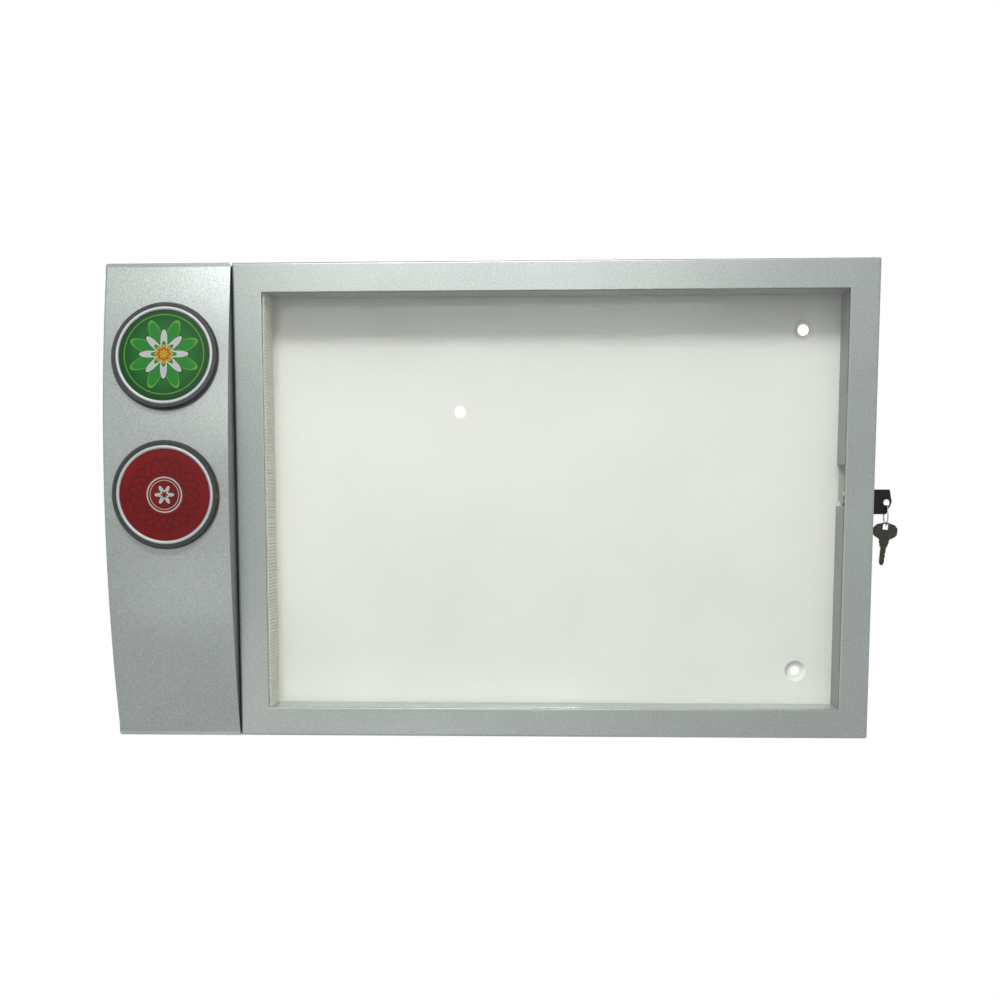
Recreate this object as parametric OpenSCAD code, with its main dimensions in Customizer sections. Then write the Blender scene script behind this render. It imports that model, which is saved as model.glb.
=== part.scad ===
// Wall-hung menu display case: a lit column with a bowed cover at the left, and at the
// right a recess behind a hinged, glazed door with a cam lock in its side.
// X runs to the right, Y runs back to the wall and Z runs up. The origin is the middle
// of the four wall holes, on the wall.

/* [Case] */
// Overall width
case_w = 610; // [580:5:700]
// Overall height
case_h = 378; // [374:2:460]
// From the wall to the front plane
case_d = 45; // [44:1:60]
// Sheet of the door frame and the column cover
skin_t = 1.2; // [0.8:0.1:1.4]
// Sheet of the white back and the band round it
sheet_t = 1; // [0.8:0.1:1.2]
// Gap between the band's walls and the skins that lap over them
lap_gap = 0.5; // [0.4:0.1:0.8]
// Radius of the outer corners, seen from the front
corner_r = 2.5; // [2:0.5:2.5]
// Bend radius of the front edges
bend_r = 1.6; // [1.4:0.1:1.9]
// How far the band's walls stop behind the front plane
band_setback = 9; // [8:0.5:12]
// How far the skins' rear edges stop in front of the wall
skin_rear_gap = 3; // [2:0.5:5]

/* [Wall holes] */
// Distance of the wall holes from the case's sides
hole_inset_x = 52.5; // [49:0.5:56]
// Distance of the wall holes from the case's top and bottom
hole_inset_z = 50.5; // [46:0.5:56]
// Diameter of a wall hole
hole_d = 8; // [5:0.5:10]
// Diameter of the dished seat round a wall hole, at the sheet
dish_d = 18; // [16:1:24]
// Diameter of the flat pad that touches the wall
pad_d = 11; // [10:1:13]
// Depth of the dish, which stands the back sheet off the wall
dish_depth = 3; // [2:0.5:4]

/* [Column] */
// Width of the column cover
column_w = 100.2; // [96:0.2:110]
// How far the column's face bows in front of the front plane
column_bow = 26; // [20:1:34]
// Flat margin above and below the bowed face
bow_margin = 3; // [2:0.5:8]
// Seam between the column and the door
seam_gap = 1; // [0.8:0.1:1.6]
// How far the column's right cheek runs back behind the front plane
cheek_return = 8; // [5:0.5:10]

/* [Badges] */
// Outer diameter of a badge
badge_d = 85.6; // [70:0.2:90]
// Distance of the upper badge's centre from the case's top
badge_top = 74; // [64:1:80]
// Distance between the badges' centres
badge_pitch = 108.3; // [100:0.1:115]
// How far a badge's rim stands off the cover
badge_h = 5; // [4:0.2:8]
// Floor of a badge's recess above the cover
badge_floor = 2.2; // [1.8:0.1:2.8]
// Width of a badge's dark rim
badge_rim = 3.7; // [3:0.1:5]
// Width of a badge's bright ring
badge_ring_w = 3.3; // [2.5:0.1:4.5]
// Distance between a badge's two studs
badge_stud_span = 40; // [30:1:50]
// Rise of a badge disc's domed face
badge_dome = 0.8; // [0.4:0.1:1.2]

/* [Door] */
// Width of the door's rails and stiles in front view
rail_w = 23.2; // [22:0.2:28]
// Thickness of the clear pane
pane_t = 2.5; // [2:0.5:3]
// How far the pane reaches behind the frame
pane_lap = 8; // [6:0.5:9]
// Sheet of the liner angles
liner_t = 1; // [0.8:0.1:1.2]
// Width of the liner flange that clamps the pane
liner_flange = 15.5; // [14.5:0.5:16]
// Gap between the liners and the white back
liner_back_gap = 2; // [1:0.5:4]
// Depth of the door's return along the hinge side
hinge_return = 8; // [5:0.5:8.5]
// Thread diameter of the liner's studs
stud_d = 3; // [3:0.5:4]

/* [Hinges] */
// Distance of the hinge axis from the door's left edge and from its front face
hinge_inset = 4; // [4:0.2:4.6]
// Diameter of a hinge pin
hinge_pin_d = 3; // [2.4:0.2:3.2]
// Thickness of a hinge bracket
bracket_t = 2; // [1.5:0.5:3]
// Distance that a bracket runs back from the axis
bracket_l = 28; // [20:1:32]
// Width of a bracket beside the axis
bracket_w = 10; // [8:1:12]

/* [Lock] */
// Height of the lock's axis
lock_z = 0; // [-20:1:20]
// Depth of the lock's axis behind the front plane
lock_depth = 22; // [20:0.5:24]
// Diameter of the lock's threaded barrel
barrel_d = 12; // [11:0.5:13]
// Length of the barrel inside the door's side
barrel_l = 16.8; // [15:0.2:18]
// Diameter of the lock's outer face
lock_face_d = 17; // [16:0.5:20]
// Thickness of the lock's outer face
lock_face_t = 2; // [1.5:0.1:3]
// Diameter of the turning plug
plug_d = 9; // [8.6:0.2:9.4]
// Reach of the cam from the lock's axis
cam_reach = 17; // [15:0.5:18]
// Width of the cam
cam_w = 8; // [7:0.5:9]
// Thickness of the cam
cam_t = 1.9; // [1.5:0.1:2]
// Play between the locked cam and the strike
strike_play = 0.6; // [0.4:0.1:1.2]
// Sheet of the strike plate
strike_t = 1.5; // [1:0.1:2]
// How far the key's blade reaches into the lock
blade_l = 17.5; // [14:0.5:18]
// Height of the key's blade
blade_h = 6.4; // [5.6:0.2:6.8]
// Thickness of the keys' metal
key_t = 2; // [1.6:0.1:2.2]
// Distance of the key ring hole from the door's side
key_hole_x = 14; // [13.5:0.5:16]
// Mean diameter of the key ring
ring_d = 16.4; // [15.5:0.2:20]
// Diameter of the key ring's wire
wire_d = 1.2; // [1:0.1:1.5]

/* [Light] */
// Thickness of the prismatic diffuser strip
diffuser_t = 2.5; // [2:0.5:3]
// Length of the fluorescent lamp without its pins
lamp_l = 288; // [212:76:288]
// Diameter of the lamp
lamp_d = 16; // [14:1:16]
// Distance of the lamp's axis from the case's left side
lamp_inset = 73; // [71:1:75]
// Distance of the lamp's axis from the back sheet
lamp_off = 22; // [18:1:24]
// Bore of the cable grommet
grommet_bore = 8; // [6:0.5:9]

/* [Hidden] */
$fn = 64;

// Facets of the wide arcs
fine_fn = 720;
// Overshoot of cuts
over = 1;
// Clearances
run_gap = 0.05;
fit_gap = 0.2;
seat_gap = 0.01;

// Case
half_w = case_w / 2;
half_h = case_h / 2;
front_y = -case_d;
skin_rear_y = -skin_rear_gap;
band_x = half_w - skin_t - lap_gap;
band_z = half_h - skin_t - lap_gap;
band_in_x = band_x - sheet_t;
band_in_z = band_z - sheet_t;
band_front_y = front_y + band_setback;
hole_span_x = case_w - 2 * hole_inset_x;
hole_span_z = case_h - 2 * hole_inset_z;
sheet_rear_y = -dish_depth;
dish_steps = 10;
back_y = sheet_rear_y - sheet_t;
band_flange = 10;

// Column
column_x0 = -half_w;
column_x1 = column_x0 + column_w;
bow_half = half_h - bow_margin;
bow_r = (bow_half * bow_half + column_bow * column_bow) / (2 * column_bow);
bow_cy = front_y - column_bow + bow_r;
cheek_rear_y = front_y + cheek_return;
column_mid_x = (column_x0 + column_x1) / 2;
cover_screw_d = 3;
cover_screw_head_d = 6.4;
cover_screw_l = 8;
cover_screw_y = (band_front_y + back_y) / 2;
cover_screw_edge = 14;
boss_d = 12;

// Badges
badge_r = badge_d / 2;
badge_seat_r = badge_r - badge_rim;
badge_disc_r = badge_seat_r - badge_ring_w;
badge_ring_rise = 0.6;
badge_disc_edge = 2.2;
badge_stud_d = 3;
badge_stud_l = 8;
badge_taper = 1.4;
badge_sink = 3;
badge_upper_z = half_h - badge_top;
badge_lower_z = badge_upper_z - badge_pitch;
badge_zs = [badge_upper_z, badge_lower_z];

// Door
door_x0 = column_x1 + seam_gap;
open_x0 = door_x0 + rail_w;
open_x1 = half_w - rail_w;
open_z = half_h - rail_w;
open_edge_r = 0.6 * skin_t;
sheet_in_y = front_y + skin_t;
pane_rear_y = sheet_in_y + pane_t;
liner_rear_y = back_y - liner_back_gap;
liner_lip_y = pane_rear_y + liner_t;
liner_end_gap = 0.8;
stud_off = pane_lap + 4;
stud_root = 0.3;
stud_reach = 3.5;
stud_row_edge = 30;
stud_row_count = 4;
stud_col_edge = 20;
stud_gap_edge = 25;
nut_ratio = [1.8, 0.8];
liner_gap_down = 3;
liner_gap_up = 30;
liner_gap_lo = lock_z - liner_gap_down;
liner_gap_hi = lock_z + liner_gap_up;

// Hinges
hinge_x = door_x0 + hinge_inset;
hinge_y = front_y + hinge_inset;
hinge_play = 0.3;
hinge_end_r = hinge_inset - skin_t - hinge_play;
hinge_notch = 8;
bracket_z0 = band_in_z - bracket_t;
pin_over = 2;
pin_tip_z = bracket_z0 - pin_over;
washer_r = hinge_end_r + hinge_play / 3;

// Lock
lock_y = front_y + lock_depth;
side_in_x = half_w - skin_t;
barrel_x0 = side_in_x - barrel_l;
nut_t = 2.5;
lock_nut_rim = 2;
lock_nut_af = barrel_d + lock_nut_rim;
lock_nut_r = lock_nut_af / sqrt(3);
notch_play = 1.9;
notch_half = lock_nut_r + notch_play;
notch_rear_y = lock_y + notch_half;
plug_square = 6;
plug_square_x0 = barrel_x0 - cam_t - fit_gap;
plug_tap_l = 4;
cam_hub_rim = 1.5;
cam_hub_r = cam_w / 2 + cam_hub_rim;
cam_screw_d = 3;
cam_screw_head_d = 9;
cam_screw_head_t = 1.8;
cam_screw_l = 3.6;
screw_slot_w = 1;
lock_face_x = half_w + lock_face_t;
strike_lip_rear = lock_y - cam_w / 2 - strike_play;
strike_lip_front = strike_lip_rear - strike_t;
strike_nut_play = 0.5;
strike_gap = lock_nut_r + strike_nut_play;
strike_h = 11.5;
strike_liner_gap = 1.7;
strike_lower_x = open_x1 + liner_t + strike_liner_gap;
strike_reach = 2.4;
strike_upper_x = open_x1 - strike_reach;
strike_finger_x = plug_square_x0 - cam_screw_head_t - fit_gap;
strike_finger_low = 1;
strike_base_l = 22;

// Keys
key_plane_x = half_w + key_hole_x;
key_hole_d = 5.1;
key_head_t = 2.6;
key_neck = 0.8;
key_tang_l = 6;
key_cuts = [2.4, 1.2, 2, 0.8];
key_cut_pitch = 3;
key_cut_flat = 0.8;
key_tip = 2;
key_slot_end = 0.5;
key_head_up = 10.4;
key_head_down = 9.4;
ring_r = ring_d / 2;
ring_top_z = lock_z - key_hole_d / 2 + wire_d / 2 + fit_gap;
ring_mid_z = ring_top_z - ring_r;
ring_low_z = ring_mid_z - ring_r;
spare_hole = 4.3;
spare_hole_z = ring_low_z - spare_hole / 2 + wire_d / 2 + fit_gap;
spare_tilt = 4.5;

// Light
diffuser_inset = 2;
diffuser_x1 = open_x0 + diffuser_inset;
diffuser_x0 = diffuser_x1 - diffuser_t;
diffuser_pane_gap = 0.8;
diffuser_back_gap = 0.6;
diffuser_front_y = pane_rear_y + diffuser_pane_gap;
diffuser_rear_y = back_y - diffuser_back_gap;
diffuser_over = 9;
diffuser_z = open_z + diffuser_over;
clip_t = 1;
clip_grip = 3;
clip_wing = 6;
clip_y0 = band_front_y + clip_t;
clip_y1 = back_y - clip_wing;
lamp_x = half_w - lamp_inset;
lamp_y = back_y - lamp_off;
lamp_half = lamp_l / 2;
cap_l = 12;
lamp_pin_l = 7.6;
lamp_pin_d = 2.4;
lamp_pin_span = 4.8;
holder_gap = 0.3;
holder_t = 12;
holder_w = 18;
holder_z0 = lamp_half + holder_gap;
holder_end = holder_z0 + holder_t;
holder_pin_play = 0.8;
holder_well_l = lamp_pin_l + 1.2;
reflector_t = 0.8;
reflector_off = 11.5;
reflector_x0 = -lamp_x - reflector_off;
reflector_base = 29;
reflector_lip = 9;
reflector_setback = 4;
reflector_front_y = front_y + reflector_setback;
reflector_over = 1;
reflector_half = holder_end + reflector_over;
reflector_screw_z = 0.42 * lamp_l;
gear_side_gap = 3;
gear_lane = 20.5;
gear_x0 = -band_in_x + gear_side_gap;
gear_x1 = reflector_x0 - gear_lane;
gear_mid_x = (gear_x0 + gear_x1) / 2;
gear_t = 1;
gear_lip = 7;
gear_low_gap = 14;
gear_high_over = 10;
gear_z0 = -lamp_half + gear_low_gap;
gear_z1 = lamp_half + gear_high_over;
gear_face_y = back_y - gear_t;
ballast_w = 28;
ballast_d = 26;
ballast_z0 = -70;
ballast_l = 105;
ballast_foot = 9;
starter_d = 21.5;
starter_l = 34;
starter_z0 = 76;
starter_rise = 2;
starter_y = gear_face_y - starter_d / 2 - starter_rise;
starter_base_l = 10;
terminal_w = 28;
terminal_d = 17;
terminal_h = 20;
terminal_poles = 3;
terminal_pitch = terminal_w / terminal_poles;
terminal_edge = 6;
terminal_z0 = gear_z0 + terminal_edge;
grommet_drop = 22;
grommet_z = gear_z0 - grommet_drop;
grommet_wall = 2;
grommet_flange_d = grommet_bore + 4 * grommet_wall;
grommet_neck_d = grommet_bore + 2 * grommet_wall;
grommet_front = 2.5;
grommet_rear = 2;
earth_side_gap = 8;
earth_edge = 19;
earth_x = reflector_x0 - earth_side_gap;
earth_z = -half_h + earth_edge;
gear_screw_head_d = 6;
gear_screw_head_t = 2;
gear_screw_taper = 1.2;
recess_w = 0.8;
recess_l = 3.4;
recess_depth = 0.7;
lead_d = 2;
lead_gap = 4;

// Extrusions along the three axes. Shapes are drawn in (Y, Z), (X, Z) and (X, Y).
module along_x(x0, x1) {
  translate([x0, 0, 0]) rotate([90, 0, 90]) linear_extrude(x1 - x0) children();
}

module along_y(y0, y1) {
  translate([0, y1, 0]) rotate([90, 0, 0]) linear_extrude(y1 - y0) children();
}

module along_z(z0, z1) {
  translate([0, 0, z0]) linear_extrude(z1 - z0) children();
}

module block(low, high) {
  translate(low) cube(high - low);
}

module rect(low, high) {
  translate(low) square(high - low);
}

// The waste outside a rounded corner at p, where s points into the shape.
module corner_waste(p, s, r) {
  difference() {
    translate([p[0] - (s[0] > 0 ? over : r), p[1] - (s[1] > 0 ? over : r)]) square(r + over);
    translate([p[0] + s[0] * r, p[1] + s[1] * r]) circle(r = r);
  }
}

module both_ends() {
  children();
  mirror([0, 0, 1]) children();
}

// A hexagon across flats
module hexagon(flats) {
  circle(r = flats / sqrt(3), $fn = 6);
}

// A cross recess sunk from z = 0 into a screw's head
module cross_recess() {
  for (size = [[recess_l, recess_w], [recess_w, recess_l]]) {
    translate([-size[0] / 2, -size[1] / 2, -recess_depth]) cube([size[0], size[1], recess_depth + over]);
  }
}

// The four wall holes, each at its place
module at_wall_holes() {
  for (x = [-1, 1], z = [-1, 1]) {
    translate([x * hole_span_x / 2, 0, z * hole_span_z / 2]) rotate([90, 0, 0]) children();
  }
}

// The pressed slope between a dish's pad and the back sheet: points of a smooth S at height z.
function dish_slope(z) = [
  for (i = [0:dish_steps])
    let (share = i / dish_steps)
    [pad_d / 2 + (dish_d - pad_d) / 2 * share, z + dish_depth * share * share * (3 - 2 * share)]
];

// A dished seat, pressed from the back sheet down to a pad on the wall.
module dish() {
  front = dish_slope(sheet_t);
  rotate_extrude() polygon(concat(
    [[hole_d / 2, 0]],
    dish_slope(0),
    [for (i = [dish_steps:-1:0]) front[i]],
    [[hole_d / 2, sheet_t]]
  ));
}

// The gap between the band's two ends, where the lock's barrel and nut pass.
module band_gap(x0, x1) {
  along_x(x0, x1) rect([band_front_y - over, lock_z - notch_half], [over, lock_z + notch_half]);
}

// Places where the column cover is screwed to the band's top and bottom walls.
module at_cover_screws() {
  for (x = [column_x0 + cover_screw_edge, column_x1 - cover_screw_edge], s = [0, 1]) {
    mirror([0, 0, s]) translate([x, cover_screw_y, 0]) children();
  }
}

// The back sheet lies inside the band, on its flange.
module back_sheet() {
  edge_x = band_in_x - seat_gap;
  edge_z = band_in_z - seat_gap;
  color("whitesmoke") difference() {
    union() {
      difference() {
        block([-edge_x, back_y, -edge_z], [edge_x, sheet_rear_y, edge_z]);
        at_wall_holes() cylinder(d = dish_d, h = dish_depth + sheet_t + over);
      }
      at_wall_holes() dish();
    }
    translate([gear_mid_x, 0, grommet_z]) rotate([90, 0, 0])
      cylinder(d = grommet_neck_d + 2 * run_gap, h = case_d);
  }
}

// The side band: one strip folded round four walls, with a rear flange that the back sheet is
// spot-welded to. Its two ends stop at the lock, and the strike joins them.
module side_band() {
  inner_x = band_x - band_flange;
  inner_z = band_z - band_flange;
  color("whitesmoke") difference() {
    union() {
      difference() {
        block([-band_x, band_front_y, -band_z], [band_x, sheet_rear_y + sheet_t, band_z]);
        block([-band_in_x, band_front_y - over, -band_in_z], [band_in_x, sheet_rear_y, band_in_z]);
        block([-inner_x, band_front_y, -inner_z], [inner_x, over, inner_z]);
      }
      at_cover_screws() translate([0, 0, band_in_z]) cylinder(d = boss_d, h = sheet_t + lap_gap);
    }
    at_cover_screws() translate([0, 0, band_in_z - over])
      cylinder(d = cover_screw_d, h = 2 * over + sheet_t);
    band_gap(inner_x - over, band_x + over);
  }
}

// The strike: a base on the band's wall and two lips, above and below the barrel. A finger of the
// upper lip reaches down past the head of the cam's screw.
module strike_plate() {
  color("silver") difference() {
    union() {
      block([band_in_x - strike_t, strike_lip_front, lock_z - strike_gap - strike_h],
            [band_in_x, strike_lip_front + strike_base_l, lock_z + strike_gap + strike_h]);
      block([strike_upper_x, strike_lip_front, lock_z + strike_gap],
            [band_in_x, strike_lip_rear, lock_z + strike_gap + strike_h]);
      block([strike_lower_x, strike_lip_front, lock_z - strike_gap - strike_h],
            [band_in_x, strike_lip_rear, lock_z - strike_gap]);
      block([strike_upper_x, strike_lip_front, lock_z + strike_finger_low],
            [strike_finger_x, strike_lip_rear, lock_z + strike_gap + over]);
    }
    block([band_in_x - strike_t - over, strike_lip_rear, lock_z - notch_half],
          [band_in_x + over, notch_rear_y, lock_z + notch_half]);
    block([band_in_x - strike_t - over, strike_lip_front - over, lock_z - strike_gap],
          [band_in_x + over, notch_rear_y, lock_z + strike_gap]);
  }
}

// A hinge bracket: a tongue under the band's wall, round about the pin.
module hinge_brackets() {
  color("silver") both_ends() difference() {
    along_z(bracket_z0, band_in_z) union() {
      translate([hinge_x, hinge_y]) circle(r = hinge_end_r);
      rect([hinge_x, hinge_y - hinge_end_r], [hinge_x + bracket_w, hinge_y + bracket_l]);
      rect([hinge_x - hinge_end_r, hinge_y], [hinge_x + bracket_w, hinge_y + bracket_l]);
    }
    translate([hinge_x, hinge_y, bracket_z0 - over])
      cylinder(d = hinge_pin_d + 2 * run_gap, h = bracket_t + 2 * over);
  }
}

// The diffuser strip: flat towards the recess, fine prisms towards the lamp.
module diffuser_strip() {
  color("lightyellow", 0.7) along_z(-diffuser_z, diffuser_z)
    rect([diffuser_x0, diffuser_front_y], [diffuser_x1, diffuser_rear_y]);
}

module diffuser_clips() {
  grip_z = diffuser_z - clip_grip;
  color("white") both_ends() {
    block([diffuser_x0 - clip_wing, clip_y0, band_in_z - clip_t],
          [diffuser_x1 + clip_wing, clip_y1, band_in_z]);
    block([diffuser_x0 - fit_gap - clip_t, clip_y0, grip_z], [diffuser_x0 - fit_gap, clip_y1, band_in_z]);
    block([diffuser_x1 + fit_gap, clip_y0, grip_z], [diffuser_x1 + fit_gap + clip_t, clip_y1, band_in_z]);
  }
}

// The bowed part of the column: a slice of a wide disc whose left rim is rounded.
module bow_disc(inset) {
  rim_r = bow_r - inset;
  edge_r = bend_r - inset;
  translate([0, bow_cy, 0]) rotate([0, 90, 0]) rotate_extrude($fn = fine_fn) difference() {
    rect([0, column_x0 + inset], [rim_r, column_x1 - inset]);
    corner_waste([rim_r, column_x0 + inset], [-1, 1], edge_r, $fn = 64);
  }
}

// The column as a solid whose faces lie the given distance inside the cover's outer faces.
module column_solid(inset, rear_y) {
  intersection() {
    union() {
      block([column_x0 + inset, front_y + inset, -half_h + inset],
            [column_x1 - inset, rear_y, half_h - inset]);
      intersection() {
        bow_disc(inset);
        block([column_x0, front_y - column_bow, -half_h], [column_x1, front_y + inset, half_h]);
      }
    }
    along_y(front_y - column_bow - over, rear_y + over) difference() {
      rect([column_x0 + inset, -half_h + inset], [column_x1 - inset, half_h - inset]);
      corner_waste([column_x0 + inset, half_h - inset], [1, -1], corner_r - inset);
      corner_waste([column_x0 + inset, -half_h + inset], [1, 1], corner_r - inset);
    }
  }
}

// Stands at the column's face at height z, with its own Z pointing out of the face.
module on_column(z) {
  slope = asin(z / bow_r);
  translate([column_mid_x, bow_cy, 0]) rotate([-slope, 0, 0]) translate([0, -bow_r, 0])
    rotate([90, 0, 0]) children();
}

module at_badge_studs() {
  for (x = [-1, 1]) {
    translate([x * badge_stud_span / 2, 0, 0]) children();
  }
}

module column_cover() {
  color("silver") difference() {
    column_solid(0, skin_rear_y);
    column_solid(skin_t, over);
    block([column_x1 - skin_t - over, cheek_rear_y, -half_h + skin_t],
          [column_x1 + over, over, half_h - skin_t]);
    for (z = badge_zs) {
      on_column(z) at_badge_studs() translate([0, 0, -badge_stud_l])
        cylinder(d = badge_stud_d + 2 * fit_gap, h = 2 * badge_stud_l);
    }
    at_cover_screws() translate([0, 0, half_h - skin_t]) cylinder(
      d1 = cover_screw_d + 2 * seat_gap,
      d2 = cover_screw_head_d + 2 * seat_gap,
      h = skin_t + seat_gap / 4
    );
  }
}

module cover_screws() {
  color("gainsboro") at_cover_screws() difference() {
    union() {
      translate([0, 0, half_h - skin_t])
        cylinder(d1 = cover_screw_d, d2 = cover_screw_head_d, h = skin_t);
      translate([0, 0, half_h - cover_screw_l])
        cylinder(d = cover_screw_d, h = cover_screw_l - skin_t);
    }
    translate([0, 0, half_h]) cross_recess();
  }
}

// Corners of flats that touch a circle a hair outside the bow, drawn in (Y, Z), from one
// height to another.
function bow_points(z0, z1, count) =
  let (flat_l = (z1 - z0) / count, r = bow_r + seat_gap + flat_l * flat_l / (8 * bow_r))
  [for (i = [0 : count]) let (z = z0 + flat_l * i) [bow_cy - sqrt(r * r - z * z), z]];

// A badge body: a shallow dish with a tapered rim, moulded to the bow of the cover.
module badge_bezel(z) {
  seat_half = badge_r + badge_sink;
  seat_steps = 9;
  color("dimgray") {
    difference() {
      on_column(z) {
        rotate_extrude($fn = 128) polygon([
          [0, -badge_sink],
          [badge_r, -badge_sink],
          [badge_r, badge_floor],
          [badge_r - badge_taper, badge_h],
          [badge_seat_r, badge_h],
          [badge_seat_r, badge_floor],
          [0, badge_floor]
        ]);
      }
      along_x(column_mid_x - seat_half, column_mid_x + seat_half) polygon(concat(
        bow_points(z - seat_half, z + seat_half, seat_steps),
        [[front_y + seat_half, z + seat_half], [front_y + seat_half, z - seat_half]]
      ));
    }
    on_column(z) at_badge_studs() translate([0, 0, -badge_stud_l])
      cylinder(d = badge_stud_d, h = badge_stud_l + badge_floor / 2);
  }
}

module badge_bezel_upper() {
  badge_bezel(badge_upper_z);
}

module badge_bezel_lower() {
  badge_bezel(badge_lower_z);
}

// The bright ring: flat underneath, round on top.
module badge_ring(z) {
  ring_mid = (badge_seat_r + badge_disc_r) / 2;
  ring_half = badge_ring_w / 2 - run_gap;
  crown_z = badge_h + badge_ring_rise - ring_half;
  on_column(z) rotate_extrude($fn = 128) union() {
    rect([ring_mid - ring_half, badge_floor], [ring_mid + ring_half, crown_z]);
    translate([ring_mid, crown_z]) circle(r = ring_half, $fn = 48);
  }
}

module badge_rings() {
  color("gainsboro") for (z = badge_zs) {
    badge_ring(z);
  }
}

// A badge disc with a slightly domed face.
module badge_disc(z) {
  disc_r = badge_disc_r - run_gap;
  dome_r = (disc_r * disc_r + badge_dome * badge_dome) / (2 * badge_dome);
  top = badge_floor + badge_disc_edge + badge_dome;
  steps = 12;
  dome = [
    for (i = [0 : steps]) let (r = disc_r * i / steps)
      [r, top - dome_r + sqrt(dome_r * dome_r - r * r)]
  ];
  on_column(z) rotate_extrude($fn = 128) polygon(concat([[disc_r, badge_floor], [0, badge_floor]], dome));
}

module badge_disc_upper() {
  color("forestgreen") badge_disc(badge_upper_z);
}

module badge_disc_lower() {
  color("firebrick") badge_disc(badge_lower_z);
}

module badge_nuts() {
  color("silver") for (z = badge_zs) {
    on_column(z) at_badge_studs() translate([0, 0, -skin_t - run_gap - nut_ratio[1] * badge_stud_d])
      linear_extrude(nut_ratio[1] * badge_stud_d) difference() {
        hexagon(nut_ratio[0] * badge_stud_d);
        circle(d = badge_stud_d + 2 * run_gap);
      }
  }
}

// The reflector: a flat base, a web on the column's side of the lamp and a slanted lip.
module reflector() {
  lip_y = reflector_front_y - reflector_lip / 2;
  color("white") difference() {
    along_z(-reflector_half, reflector_half) polygon([
      [reflector_x0, back_y],
      [reflector_x0 + reflector_base, back_y],
      [reflector_x0 + reflector_base, back_y - reflector_t],
      [reflector_x0 + reflector_t, back_y - reflector_t],
      [reflector_x0 + reflector_t, reflector_front_y],
      [reflector_x0 + reflector_lip, lip_y],
      [reflector_x0 + reflector_lip, lip_y - reflector_t],
      [reflector_x0, reflector_front_y - reflector_t]
    ]);
    at_reflector_screws() cylinder(d = cover_screw_d, h = case_d, center = true);
  }
}

module at_reflector_screws() {
  for (s = [-1, 1]) {
    translate([-lamp_x, back_y, s * reflector_screw_z]) rotate([90, 0, 0]) children();
  }
}

module gear_plate() {
  color("lightgray") difference() {
    along_z(gear_z0, gear_z1) difference() {
      rect([gear_x0, back_y - gear_lip], [gear_x1, back_y]);
      rect([gear_x0 + gear_t, back_y - gear_lip - over], [gear_x1 - gear_t, gear_face_y]);
    }
    at_gear_screws() cylinder(d = cover_screw_d, h = case_d, center = true);
  }
}

module at_gear_screws() {
  for (z = [ballast_z0 - ballast_foot / 2, ballast_z0 + ballast_l + ballast_foot / 2]) {
    translate([gear_mid_x, back_y, z]) rotate([90, 0, 0]) children();
  }
}

// The ballast: a laminated core with a coil window and two feet.
module ballast() {
  foot_t = 1;
  core_y0 = gear_face_y - ballast_d;
  x0 = gear_mid_x - ballast_w / 2;
  x1 = gear_mid_x + ballast_w / 2;
  step = 2;
  color("lightgray") difference() {
    union() {
      block([x0, core_y0, ballast_z0], [x1, gear_face_y, ballast_z0 + ballast_l]);
      block([x0 + step, gear_face_y - foot_t, ballast_z0 - ballast_foot],
            [x1 - step, gear_face_y, ballast_z0 + ballast_l + ballast_foot]);
    }
    for (x = [x0 - over, x1 - step]) {
      block([x, core_y0 - over, ballast_z0 + 2 * step],
            [x + step + over, core_y0 + 4 * step, ballast_z0 + ballast_l - 2 * step]);
    }
    at_gear_screws() cylinder(d = cover_screw_d, h = case_d, center = true);
  }
}

module starter_holder() {
  wall = 1.5;
  half = starter_d / 2 + wall;
  color("white") difference() {
    block([gear_mid_x - half, starter_y - half, starter_z0 - starter_base_l],
          [gear_mid_x + half, gear_face_y, starter_z0 + starter_base_l]);
    translate([gear_mid_x, starter_y, starter_z0])
      cylinder(d = starter_d + 2 * fit_gap, h = starter_base_l + over);
    translate([gear_mid_x, starter_y, starter_z0 - starter_base_l - over])
      cylinder(d = 2 * lead_d, h = starter_base_l + 2 * over);
  }
}

module starter() {
  cap_t = 3;
  color("whitesmoke") translate([gear_mid_x, starter_y, starter_z0]) {
    cylinder(d = starter_d, h = starter_l - cap_t);
    translate([0, 0, starter_l - cap_t]) cylinder(d1 = starter_d, d2 = starter_d - cap_t, h = cap_t);
  }
}

// A three-pole terminal block with its wire holes and screw wells.
module terminal_block() {
  well_d = 4;
  slot_depth = 4;
  slot_half = 0.5;
  wire_hole_d = 1.7 * lead_d;
  top_y = gear_face_y - terminal_d;
  color("ivory") difference() {
    block([gear_mid_x - terminal_w / 2, top_y, terminal_z0],
          [gear_mid_x + terminal_w / 2, gear_face_y, terminal_z0 + terminal_h]);
    for (i = [0 : terminal_poles - 1]) {
      x = gear_mid_x + (i - (terminal_poles - 1) / 2) * terminal_pitch;
      translate([x, gear_face_y - terminal_d / 2, terminal_z0 - over])
        cylinder(d = wire_hole_d, h = terminal_h + 2 * over);
      for (share = [0.25, 0.75]) {
        translate([x, top_y - over, terminal_z0 + share * terminal_h]) rotate([-90, 0, 0])
          cylinder(d = well_d, h = terminal_d / 2 + over);
      }
    }
    for (s = [-1, 1]) {
      x = gear_mid_x + s * terminal_pitch / 2;
      block([x - slot_half, top_y - over, terminal_z0 - over],
            [x + slot_half, top_y + slot_depth, terminal_z0 + terminal_h + over]);
    }
  }
}

// A pan head on its shank, with its seat at z = 0 and the shank running down.
module pan_screw(shank) {
  difference() {
    cylinder(d1 = gear_screw_head_d, d2 = gear_screw_head_d - gear_screw_taper, h = gear_screw_head_t);
    translate([0, 0, gear_screw_head_t]) cross_recess();
  }
  translate([0, 0, -shank]) cylinder(d = cover_screw_d - 2 * run_gap, h = shank);
}

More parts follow.
